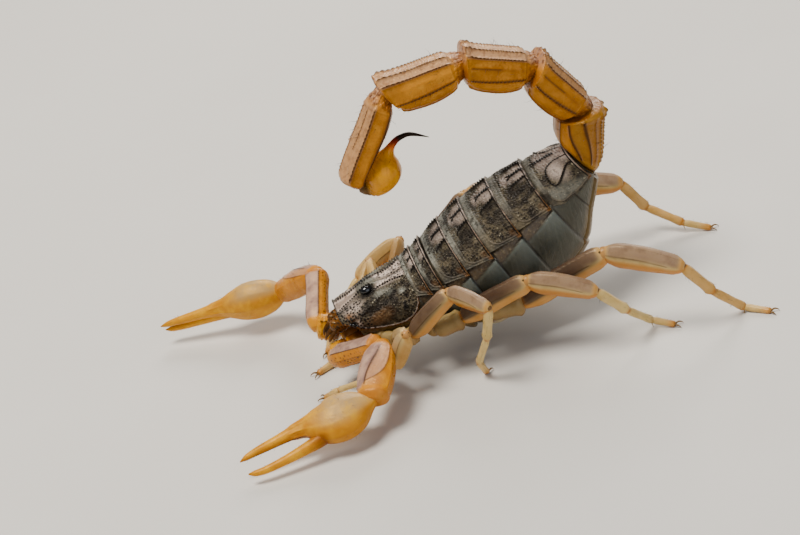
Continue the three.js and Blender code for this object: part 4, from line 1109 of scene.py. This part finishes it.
# Sting: one profile carried from the knuckle through the bulb and out along the point.
KNUCKLE = JOINTS[5]
BULB = KNUCKLE + (0, 3.25, 0.55)
STING_PATH = ([0, 0.1, 0.22, 0.36, 0.5, 0.62, 0.72, 0.84, 0.93, 1.0], np.array([
    KNUCKLE + (0, 0.35, -0.75), KNUCKLE + (0, 1.05, -0.75), KNUCKLE + (0, 1.95, -0.6),
    BULB + (0, -0.28, -0.35), BULB + (0, 0.42, 0.75), BULB + (0, 0.95, 1.6),
    BULB + (0, 1.5, 2.2), BULB + (0, 2.5, 2.7), BULB + (0, 3.65, 2.62), BULB + (0, 5.2, 1.72)]))
STING_SIZE = ([0, 0.06, 0.12, 0.2, 0.3, 0.4, 0.5, 0.6, 0.68, 0.76, 0.85, 0.94, 1.0],
              [0.35, 0.72, 0.95, 1.45, 1.86, 1.98, 1.6, 0.76, 0.44, 0.34, 0.28, 0.19, 0.03])
SPLIT = 0.76  # share of the sting's path at which the bulb ends and the point starts


def sting_shape(lo, hi, rows, cols):
    """The share lo to hi of the sting's sweep: a round ring, faintly fluted on the bulb, with
    a short row of grains under the knuckle."""
    knots = np.linspace(lo, hi, 24)
    size = through(*STING_SIZE, knots)

    def grains(t, a):
        """Coarse grains, strewn along and round the sting."""
        return granules(a * 1.6 + 4, t * 14, 0.3, 8)

    def flutes(t, a):
        """Nine faint flutes on the bulb and the grains under the knuckle."""
        return 0.02 * np.sin(9 * a) * hill(t, 0.34, 0.14) + 0.07 * grains(t, a) * hill(t, 0.13, 0.07)

    def paint(t, a):
        """Dark at the knuckle, orange and then red-brown where bulb and point meet."""
        return {"tone": 1 - rise(t, 0.1, 0.18), "low": rise(t, 0.62, 0.72) * (lo < 0.5),
                "rim": rise(t, 0.68, 0.77) if lo < 0.5 else 1 - rise(t, 0.76, 0.84),
                "ridge": 0.75 * hill(t, 0.14, 0.05) * grains(t, a)}

    return sweep((knots, through(*STING_PATH, knots)), (knots, 0.96 * size), (knots, size), (1, 0, 0),
                 rows, cols, lift=flutes, paint=paint)


bulb_shape = hairy("tail", sting_shape(0.0, SPLIT, 130, 96), 130, 96, 30, 0.6, 0.5, -2.0, 0.016)
piece("sting_bulb_shell", [bulb_shape], bulb_shell, "venom", "sting_bulb")
piece("sting_point_horn", [sting_shape(SPLIT - 0.004, 1.0, 70, 40)], horn_shell, "sting",
      "sting_point")


# ------------------------------------------------------------------ legs
def leg_joints(lengths, hip, yaw, pitch, sign):
    """The seven joints of a leg: each length steps by its yaw and pitch, and the tarsus takes
    the pitch that brings its tip to the floor."""
    spots = [np.array(hip) * (sign, 1, 1)]
    for i in range(6):
        drop = math.sin(math.radians(pitch[i])) if i < 5 else -(spots[i][2] - FOOT + 0.06) / lengths[i]
        level, turn = math.sqrt(1 - drop * drop), math.radians(yaw[i])
        step = np.array([sign * math.cos(turn) * level, math.sin(turn) * level, drop])
        spots.append(spots[i] + step * lengths[i])
    return spots


LEG_KEELS = mirrored([(24, 0.07, 8, 0.06, 0.95, 0.24, 0.35), (158, 0.07, 8, 0.06, 0.95, 0.26, 0.5),
                      ((74, 84), 0.05, 6, -0.06, 0.85, 0, 0.66)])


def leg_paint(t, a):
    """Upper faces pinkish grey, lower edge amber, both ends amber with a dark rim."""
    up, down = rise(np.cos(a), -0.2, 0.44), rise(-np.cos(a), -0.08, 0.5)
    ends = np.clip(hill(t, 0.0, 0.05) + hill(t, 1.0, 0.045), 0, 1)
    return {"tone": 0.95 * up * (1 - ends), "rim": 0.35 * ends,
            "low": np.clip(0.95 * down + 0.7 * ends, 0, 1)}


def thigh_paint(depth, pink, amber):
    """As the other lengths, with the upper faces a darker brown that fades towards the knee,
    and only a share of the pink and of the amber."""
    def paint(t, a):
        """The marks of one thigh."""
        marks = leg_paint(t, a)
        fade = (1 - 0.4 * rise(t, 0.55, 1.0)) * (1 - hill(t, 1.0, 0.06))
        marks["grain"] = depth * rise(np.cos(a), -0.56, -0.04) * fade
        marks["low"] = np.maximum(amber * marks["low"] * (1 - 0.2 * depth), 0.3 * (pink < 0.5))
        marks["tone"] = pink * marks["tone"]
        return marks
    return paint


def hip_painted_shade(t, a):
    """Painted shade: dark olive amber where the coxa and trochanter lie in the shade under the body,
    paler on top where light falls.
    """
    marks = leg_paint(t, a)
    marks["grain"] = 0.74 - 0.16 * rise(np.cos(a), 0.6, 1.0)
    marks["tone"] = 0 * t
    marks["low"] = 0.14 + 0.1 * marks["low"]
    return marks


def leg_pieces(name, label, lengths, thick, hip, yaw, pitch):
    """A leg: coxa, trochanter, bladed femur and patella in one piece, and tibia, basitarsus and
    tarsus with their spurs and two hooked claws in the other."""
    sign = 1 if label == "left" else -1
    p = leg_joints(lengths, hip, yaw, pitch, sign)
    up = (0, 0, 1)
    inner = np.array([sign * 1.4, p[0][1] - 0.8, p[0][2] + 0.3])

    def part(a, b, w, h, wide, high, rows, cols, power=0.92, keel_rows=(), pinch=0.0, arch=0.0,
             paint=leg_paint):
        """One length from a to b: half sizes w and h times the shares wide and high, its
        middle raised by arch."""
        knots = np.array([-0.04, 0.03, 0.14, 0.4, 0.7, 0.9, 0.98, 1.03])
        line = np.asarray(a) + knots[:, None] * (np.asarray(b) - a)
        line = line + np.outer(np.sin(np.pi * np.clip(knots, 0, 1)), (0, 0, arch))
        return sweep((knots, line), (knots, w * np.array(wide)), (knots, h * np.array(high)), up,
                     rows, cols, power, keel_rows, pinch, paint=paint)

    shade = {"front": 0.1, "second": 0.78, "third": 1.0, "rear": 1.0}[name]
    far = label == "right" and name in ("front", "second")
    pink = 0.2 if far else 0.6 if name == "front" else 1.0
    amber = 0.55 if name == "front" else 1.0
    stout = (0.6, 0.85, 0.98, 1, 0.98, 1.02, 0.86, 0.5)
    even = (0.45, 0.75, 0.95, 1.0, 0.98, 0.96, 0.8, 0.45)
    bladed = (0.4, 0.7, 0.98, 1.08, 1.02, 0.96, 0.82, 0.42)
    shin = (0.5, 0.82, 0.98, 1.0, 0.96, 1.04, 0.94, 0.5)
    upper = [
        part(inner, p[0], thick, thick * 1.1, even, even, 26, 40, paint=hip_painted_shade),
        part(p[0], p[1], thick * 0.95, thick * 1.05, stout, stout, 34, 44,
             keel_rows=LEG_KEELS[:4], paint=hip_painted_shade),
        part(p[1], p[2], thick * 0.8, thick * 1.2, even, bladed, 64, 56, 1.12, LEG_KEELS, 0.1, 0.12,
             thigh_paint(shade, pink, amber)),
        part(p[2], p[3], thick * 0.78, thick * 1.25, even, (0.45, 0.75, 1.0, 1.1, 1.0, 0.8, 0.66, 0.4),
             64, 56, 1.1, LEG_KEELS, 0.12, 0.16, thigh_paint(0.14, pink, amber)),
    ]
    knee = dome(p[3] + (0, 0, 0.12), 0.4 * thick, ridge=0.75, low=0.6)
    knuckle = dome(p[2] + (0, 0, 0.12), 0.66 * thick, low=0.6, tone=0.5, rim=0.4)
    dots = [dome(p[2] + (sign * 0.3 * thick, dy * thick, 0.5 * thick), 0.13 * thick, 8, 12, ridge=0.9)
            for dy in (-0.45, 0.4)]
    upper += [knee, knuckle] + dots
    leg = "%s_leg_%s_" % (name, label)
    piece(leg + "thigh", upper, leg_shell, "straw", leg + "upper")

    def pale(t, a):
        """Straw, amber at both ends; the rear leg's amber all along."""
        ends = np.clip(hill(t, 0.0, 0.05) + hill(t, 1.0, 0.06), 0, 1)
        all_over = 0.5 if name == "rear" else 0.04
        return {"low": np.clip(0.6 * ends + all_over, 0, 1), "rim": 0.4 * ends}

    def foot(t, a):
        """Amber that deepens to a dark rim at the claws."""
        return {"low": 0.25 + 0.6 * rise(t, 0.5, 1.0), "rim": 0.4 * rise(t, 0.8, 1.0)}

    ahead = unit((p[6] - p[5]) * (1, 1, 0))
    aside = np.cross(ahead, (0, 0, 1))
    lower = [
        hairy("leg", part(p[3], p[4], thick * 0.47, thick * 0.52, shin, shin, 56, 40, 0.92,
                          LEG_KEELS[:4], 0.1, paint=pale), 56, 40, 16, 0.5, 0.7, radius=0.014),
        hairy("leg", part(p[4], p[5], thick * 0.4, thick * 0.44, shin, shin, 50, 36, 0.95, paint=pale),
              50, 36, 20, 0.42, 0.8, radius=0.014),
        hairy("leg", part(p[5], p[6], 0.34, 0.36, shin, (0.5, 0.8, 1, 1, 0.92, 0.86, 0.75, 0.45),
                          40, 32, 1.0, paint=foot), 40, 32, 22, 0.3, 0.9, -0.1, 0.012),
        dome(p[4], thick * 0.41, low=0.8, rim=0.5), dome(p[5], thick * 0.36, low=0.8, rim=0.4),
    ]
    for turn in (-1, 1):
        root = p[6] + ahead * 0.02 + aside * 0.12 * turn
        lower.append(horn([root + (0, 0, 0.02), root + ahead * 0.32 + aside * 0.2 * turn + (0, 0, 0.12),
                           root + ahead * 0.62 + aside * 0.3 * turn,
                           root + ahead * 0.72 + aside * 0.32 * turn + (0, 0, -0.2)],
                          [0.11, 0.085, 0.05, 0.012], rows=16, cols=10, ridge=0.45, rim=0.9))
        heel = p[5] + (0, 0, -0.15)
        lower.append(horn([heel, heel + ahead * 0.1 + aside * 0.3 * turn + (0, 0, -0.2),
                           heel + ahead * 0.25 + aside * 0.48 * turn + (0, 0, -0.42)],
                          [0.08, 0.05, 0.012], rows=10, cols=8, ridge=0.35, rim=0.6))
    if name in ("third", "rear"):
        heel = p[4] + (0, 0, -0.1)
        back = unit(p[5] - p[4])
        lower.append(horn([heel, heel + back * 0.35 - ahead * 0.22, heel + back * 0.7 - ahead * 0.3],
                          [0.1, 0.07, 0.012], rows=10, cols=8, ridge=0.5))
    for points, _, _ in lower:
        points[:, 2] = np.maximum(points[:, 2], 0.0)
    piece(leg + "shin", lower, leg_shell, "straw", leg + "lower")


for name, (lengths, thick, sides) in LEGS.items():
    for label, (hip, yaw, pitch) in sides.items():
        leg_pieces(name, label, lengths, thick, hip, yaw, pitch)


# ------------------------------------------------------------------ pedipalps
def pedipalp(label, limb):
    """A pedipalp: squared femur and patella with dark beaded edges round pink upper faces, a
    swollen smooth hand that runs out into the fixed finger, and the movable finger, both
    with a row of dark teeth on the facing edge."""
    at = {k: np.array(v, float) for k, v in limb.items() if np.ndim(v) and k != "pale"}
    up = np.array((0, 0, 1.0))
    knots = np.array([-0.05, 0.03, 0.13, 0.4, 0.7, 0.88, 0.97, 1.04])
    blunt = (0.5, 0.82, 0.98, 1.0, 1.0, 1.04, 0.95, 0.5)

    def part(a, b, w, h, keel_rows, paint, rows=96, cols=112, power=0.8, share=blunt, lift=None):
        """One length from a to b, with half sizes w and h times the share."""
        line = a + knots[:, None] * (b - a)
        return sweep((knots, line), (knots, w * np.array(share)), (knots, h * np.array(share)), up,
                     rows, cols, power, keel_rows, lift=lift, paint=paint)

    def orange(t, a):
        """Orange with fine dark grains and a red-brown end."""
        return {"low": 0.3 + 0 * t, "ridge": 0.5 * (granules(a * 1.2 + 2, t * 5, 0.5, 4, 0.22) > 0.3),
                "rim": 0.3 * hill(t, 1.0, 0.06)}

    def hip(t, a, start=0.8):
        """As orange, with a dark red-brown root up to start."""
        marks = orange(t, a)
        root = 1 - rise(t, start, start + 0.3)
        marks["rim"] = 0.85 * root
        marks["ridge"] = np.maximum(marks["ridge"], 0.5 * root)
        return marks

    def faced(t, a):
        """A pink upper face on orange sides that are specked with dark grains."""
        up_face = np.cos(a - math.radians(limb["turn"]))
        top = rise(up_face, 0.78, 0.86) * band(t, 0.06, 0.1, 0.9, 0.95)
        specks = 0.8 * (granules(a * 1.15 + 2, t * 6.4, 0.42, 5, 0.24) > 0.35) * (up_face < 0.6)
        elbow = 1 - rise(t, 0.04, 0.14)
        return {"tone": top, "ridge": specks * (t > 0.08) * (t < 0.9), "low": 0.8 * elbow,
                "rim": 0.6 * rise(t, 0.86, 0.94)}

    base = [part(at["coxa"], at["trochanter"], 1.0, 1.25, (), hip, 40, 56),
            part(at["trochanter"], at["elbow1"], 1.05, 1.2,
                 mirrored([(40, 0.08, 8, 0.1, 0.9, 0.26, 0.8)]),
                 lambda t, a: hip(t, a, 0.25), 50, 64, 1.0,
                 (0.5, 0.86, 1.05, 1.12, 1.12, 1.08, 0.9, 0.5),
                 lift=lambda t, a: 0.1 * granules(a * 1.2 + 2, t * 2.4, 0.42, 4, 0.3))]
    piece("pedipalp_%s_root" % label, base, hand_shell, "amber", "pedipalp_%s_base" % label)
    turn = limb["turn"]
    edges = [(turn + at_side, 0.1, 5.5, 0.06, 0.95, 0.25, 0.85) for at_side in (34, -34)]
    edges += mirrored([(140, 0.07, 5, 0.08, 0.93, 0.3, 0.8), (92, 0.05, 5, 0.1, 0.9, 0.36, 0.5)])
    femur = part(at["elbow1"], at["elbow2"], 1.12, 1.12, edges, faced)
    piece("pedipalp_%s_arm" % label, [femur], arm_shell, "amber", "pedipalp_%s_femur" % label)

    bow = at["bow"]
    swell = float(np.linalg.norm(bow))
    lines = [(-66, 0.06, 6, 0.08, 0.9, 0, 0.0), (62, 0.07, 6, 0.08, 0.9, 0, 0.3),
             *mirrored([(140, 0.06, 6, 0.08, 0.9, 0, 0.3)])]

    def edges_of_face(t, a):
        """Distance in mm to the two dark lines of the lilac face: one down its middle, and one
        that runs down its outer side and hooks back to meet the first."""
        turn = np.degrees(turned(a)) * 0.025
        return [near(turn, t * 7.3, np.array(path) * (0.025, 7.3))[0]
                for path in ([(-12, 0.13), (3, 0.45), (15, 0.7), (19, 0.84)],
                             [(-56, 0.1), (-46, 0.42), (-32, 0.62), (-8, 0.74), (16, 0.8)])]

    def forearm(t, a):
        """The lilac face with its two dark lines, a painted brown shade beside them and towards one edge
        of the face, and a rim.
        """
        middle, outer = edges_of_face(t, a)
        turn = np.degrees(turned(a))
        edge = through([0.0, 0.1, 0.42, 0.62, 0.74, 0.84], [-58, -56, -46, -32, -10, 30], t)
        face = rise(turn - edge, -6, 9) * (1 - rise(turn, 78, 100)) * rise(t, 0.02, 0.1)
        face = np.maximum(face, 0.45 * band(t, 0.55, 0.72, 0.86, 0.93) * hill(turn, 0, 50))
        dark = np.maximum(0.7 * hill(middle, 0, 0.1), 0.55 * hill(outer, 0, 0.1)) * rise(t, 0.08, 0.2)
        # painted shade beside the raised lines and towards one edge of the face, sent out as the grain
        # mark
        soft = np.maximum(hill(middle, 0, 0.32), 0.7 * hill(outer, 0, 0.28)) * rise(t, 0.05, 0.2)
        soft = soft + 0.5 * rise(turn, 40, 75)
        centre = through([0.0, 0.13, 0.45, 0.7, 0.84], [-16, -12, 3, 15, 19], t)
        face = face * (1 - 0.45 * (1 - rise(turn - centre, -3, 3)))
        return {"tone": face * (1 - rise(t, 0.84, 0.92)), "ridge": dark,
                "grain": 0.75 * np.clip(soft, 0, 1) * face, "rim": 0.7 * rise(t, 0.88, 0.96)}

    patella = part(at["elbow2"] + bow, at["wrist"] + bow, 1.48 + swell, 1.38, lines, forearm,
                   power=0.84, share=(0.42, 0.6, 0.78, 1.0, 1.02, 0.92, 0.86, 0.5),
                   lift=lambda t, a: 0.05 * most(*(hill(d, 0, 0.16) for d in edges_of_face(t, a))))
    hairy("claw", patella, 96, 112, 18, 0.5, 0.6, radius=0.016)
    piece("pedipalp_%s_forearm" % label, [patella], arm_shell, "amber", "pedipalp_%s_patella" % label)

    reach = at["tip"] - at["wrist"]
    length = float(np.linalg.norm(reach))
    axis = reach / length
    spread = unit(at["spread"] - axis * (at["spread"] @ axis))
    thick = np.cross(axis, spread)
    plump, gape = limb["plump"], limb["open"]

    def place(along, across):
        """Point at a share of the hand's length, across mm towards the movable finger."""
        return at["wrist"] + axis * along * length + spread * across * gape

    def edge_at(a, middle):
        """A narrow line along the hand or finger at the angle middle."""
        return hill(np.degrees(turned(a - middle)), 0, 9)

    # hand and fixed finger: share of length, offset towards the movable finger, half sizes
    form = np.array([
        [-0.03, 0.0, 0.55, 0.5], [0.02, 0.0, 1.0, 0.9], [0.08, 0.0, 1.65, 1.35], [0.16, 0.02, 2.12, 1.65],
        [0.25, 0.0, 2.3, 1.76], [0.34, -0.1, 2.1, 1.6], [0.42, -0.42, 1.6, 1.26],
        [0.5, -0.72, 0.98, 0.88], [0.6, -0.86, 0.68, 0.64], [0.7, -0.88, 0.56, 0.53],
        [0.8, -0.9, 0.48, 0.46], [0.9, -0.9, 0.38, 0.36], [0.96, -0.84, 0.27, 0.26],
        [1.01, -0.72, 0.05, 0.05]])
    share = form[:, 0]
    fat = plump * hill(share, 0.2, 0.2)
    path = np.array([place(a, 0) + spread * (b * gape + f) for a, b, f in zip(share, form[:, 1], fat)])
    pale_at, none, full = limb["pale"]

    def palm_paint(t, a):
        """Tan on the pale side, a red-brown line at the finger's root, dark teeth."""
        root_line = hill(t, 0.37, 0.035) * rise(-np.sin(a), 0.55, 0.9)
        teeth = edge_at(a, -np.pi / 2) * rise(t, 0.45, 0.52)
        tan = rise(np.cos(a - math.radians(pale_at)), none, full)
        return {"tone": 0.9 * tan * (1 - rise(t, 0.25, 0.52)),
                "low": 0.8 * rise(-np.sin(a), 0.3, 0.9),
                "rim": np.maximum(0.9 * root_line, 0.6 * rise(t, 0.94, 1.0)),
                "ridge": 0.9 * teeth * (0.5 + 0.5 * beads(t * length, 0.26))}

    def palm_lift(t, a):
        """Teeth along the fixed finger."""
        along = band(t, 0.5, 0.56, 0.97, 1) * beads(t * length, 0.26)
        return 0.07 * edge_at(a, -np.pi / 2) * along

    faint = [(degrees, 0.05, 7, 0.04, 0.62, 0, 0.22) for degrees in (-70, -28, 15, 60, 150, -130)]
    hand = sweep((share, path), (share, form[:, 2] + fat), (share, form[:, 3]), thick, 190, 120, 0.96,
                 faint, lift=palm_lift, paint=palm_paint)
    hairy("claw", hand, 190, 120, 46, 0.42, 0.6, radius=0.015)
    piece("pedipalp_%s_claw_hand" % label, [hand], hand_shell, "amber", "pedipalp_%s_hand" % label)

    finger_share = np.array([0.0, 0.12, 0.3, 0.55, 0.8, 0.93, 1.0])
    finger_path = np.array([place(0.33, 0.95), place(0.42, 1.24), place(0.56, 1.4), place(0.74, 1.46),
                            place(0.9, 1.33), place(0.96, 1.12), place(0.995, 0.93)])
    size = np.array([0.72, 0.74, 0.6, 0.46, 0.36, 0.25, 0.05])

    def teeth(t):
        """Beads along the movable finger."""
        return beads(t * length * 0.62, 0.26)

    finger = sweep((finger_share, finger_path), (finger_share, size), (finger_share, 0.94 * size),
                   thick, 120, 56, 0.98,
                   lift=lambda t, a: 0.07 * edge_at(a, np.pi / 2) * rise(t, 0.14, 0.2) * teeth(t),
                   paint=lambda t, a: {"ridge": 0.9 * edge_at(a, np.pi / 2) * (0.5 + 0.5 * teeth(t)),
                                       "rim": np.maximum(1 - rise(t, 0.1, 0.36),
                                                         0.6 * rise(t, 0.92, 1.0))})
    hairy("claw", finger, 120, 56, 22, 0.36, 0.7, radius=0.013)
    piece("pedipalp_%s_claw_finger" % label, [finger], hand_shell,
          "amber", "pedipalp_%s_finger" % label)


for label, limb in PEDIPALPS.items():
    pedipalp(label, limb)


# ------------------------------------------------------------------ setae
TILES = 8      # tiles on a side of the map, one for each sleeve
PATCH = 0.003  # width of one seta's patch in the map


def bristles(grid, tile, count, length, lean, seed, upper=0.0, radius=0.02):
    """Setae on a sleeve, given as its grid of rings. Each is a three-sided spike of two rings
    and a tip that bends towards the limb's far end: lean is its slope, and upper keeps it off
    the faces that look down more than that. Its patch of the unwrap lies at its root's place
    in the sleeve's own tile. Returns points, triangles, marks and the map."""
    rows, cols = grid.shape[:2]
    k = np.arange(4 * count)
    t, a = 0.04 + 0.92 * chance(k, seed, 1), chance(k, seed, 2)
    row, col = (t * (rows - 3) + 1).astype(int), (a * cols).astype(int)
    root = grid[row, col]
    along = unit(grid[row + 1, col] - grid[row - 1, col])
    around = unit(grid[row, (col + 1) % cols] - grid[row, col - 1])
    out = unit(np.cross(around, along))
    out = out * np.sign(np.einsum("ij,ij->i", out, root - grid[row].mean(1)))[:, None]
    kept = np.flatnonzero(out[:, 2] > upper)[:count]
    t, a, root, along, around, out = (v[kept] for v in (t, a, root, along, around, out))
    k, n = k[kept], len(kept)
    sway = 0.5 * (chance(k, seed, 3) - 0.5)[:, None] * around
    first = unit(out + lean * along + sway)
    second = unit(0.6 * out + 1.6 * lean * along + sway)
    reach = length * (0.6 + 0.8 * chance(k, seed, 4))[:, None]
    thick = radius * (0.8 + 0.4 * chance(k, seed, 5))[:, None]
    sides = [along * math.cos(w) + around * math.sin(w) for w in (0.0, 2.094, 4.189)]
    low = [root - 0.03 * out + thick * side for side in sides]
    mid = [root + 0.5 * reach * first + 0.6 * thick * side for side in sides]
    tip = root + 0.5 * reach * (first + second)
    points = np.stack(low + mid + [tip], axis=1).reshape(-1, 3)
    spike = np.array([[0, 2, 1], [0, 1, 4], [0, 4, 3], [1, 2, 5], [1, 5, 4], [2, 0, 3], [2, 3, 5],
                      [3, 4, 6], [4, 5, 6], [5, 3, 6]])
    faces = (spike[None] + 7 * np.arange(n)[:, None, None]).reshape(-1, 3)
    patch = PATCH * np.array([[0, 0], [0.5, 0.1], [1, 0], [0.1, 0.5], [0.5, 0.6], [0.9, 0.5],
                              [0.5, 1]])
    place = (np.stack([a, t], -1) * 0.9 + 0.05 + np.array([tile % TILES, tile // TILES])) / TILES
    flat = (place[:, None] + patch[None]).reshape(-1, 2)
    return points, outwards(points, faces), {"tone": np.tile([0, 0, 0, 0.4, 0.4, 0.4, 1.0], n)}, flat


def coat(name, slot, tufts):
    """Joins setae into one piece, with their patches as the map named OFBake."""
    made = piece(name, [tuft[:3] for tuft in tufts], bristle, slot)
    mesh = made.data
    corner = np.empty(len(mesh.loops), int)
    mesh.loops.foreach_get("vertex_index", corner)
    flat = np.concatenate([tuft[3] for tuft in tufts])
    mesh.uv_layers.new(name="OFBake").data.foreach_set("uv", flat[corner].ravel())


for family, slot, seed in (("tail", "amber", 500), ("leg", "straw", 600), ("claw", "amber", 700)):
    coat("%s_setae" % family, slot, [
        bristles(grid, tile, count, length, lean, seed + tile, upper, radius)
        for tile, (grid, count, length, lean, upper, radius) in enumerate(HAIRY[family])])


# ------------------------------------------------------------------ stage, light and camera
SENSOR = 36.0  # width of the camera's sensor, mm
FLOOR_HALF = 0.8  # half the floor's side, m


def stage_floor():
    """A plain pale floor: a flat grid at the level that the feet rest on."""
    v, u = lattice(9, 9, -1)
    flat = np.stack([FLOOR_HALF * u + 0 * v, FLOOR_HALF * v + 0 * u, 0 * (u + v)], -1)
    mesh = bpy.data.meshes.new("floor")
    mesh.from_pydata(flat.reshape(-1, 3), [], weave(9, 9, False))
    made = set_out("floor", mesh)
    mesh.materials.append(finish("matte_board", "#d9d5cd", [("#cfcac1", 0.3, ("noise", 60, 0.4, 0.6))],
                                 (0.7, 0.8, ("noise", 30, 0.4, 0.6)), [], ior=1.45))


def stand(name, data, right, away, place):
    """Adds a light or camera at a place, facing against away, with its right hand as given."""
    made = set_out(name, data)
    pose = np.eye(4)
    pose[:3] = np.stack([right, np.cross(away, right), away, place], axis=1)
    made.matrix_world = Matrix(pose.tolist())
    return made


def softbox(name, place, size, power, colour):
    """A square area light of the given side and power that faces the animal."""
    lamp = bpy.data.lights.new(name, "AREA")
    lamp.size, lamp.energy, lamp.color = size, power, ink(colour)[:3]
    away = unit(place)
    stand(name, lamp, unit(np.cross((0, 0, 1), away)), away, place)


def set_camera(elevation=29.0, azimuth=-3.0, roll=17.0, distance=330.0, across=80.0):
    """A long-lens camera on the animal's left, a little towards the head, rolled about its
    own axis; across is the width in mm that it takes in at its distance."""
    e, a, r = np.radians([elevation, azimuth, roll])
    away = np.array([np.cos(e) * np.cos(a), np.cos(e) * np.sin(a), np.sin(e)])
    level = np.array([-np.sin(a), np.cos(a), 0.0])
    above = np.cross(away, level)
    right = level * np.cos(r) - above * np.sin(r)
    aim = np.array([-0.18, 3.53, 9.71]) + HOME
    data = bpy.data.cameras.new("camera")
    data.sensor_width = SENSOR
    data.lens = SENSOR * distance / across
    data.clip_start, data.clip_end = 0.01, 10.0
    bpy.context.scene.camera = stand("camera", data, right, away, (aim + distance * away) * MM)


stage_floor()
set_camera()
softbox("key_light", (0.02, -0.12, 0.4), 0.16, 2.3, "#fffaf2")
softbox("fill_light", (0.36, 0.1, 0.16), 0.3, 0.5, "#eaf1ff")
softbox("rim_light", (-0.26, 0.1, 0.2), 0.16, 0.8, "#fffaf2")
world = bpy.data.worlds.new("soft_room")
world.use_nodes = True
sky = world.node_tree.nodes["Background"]
sky.inputs["Color"].default_value = ink("#dfe3e8")
sky.inputs["Strength"].default_value = 0.27
bpy.context.scene.world = world
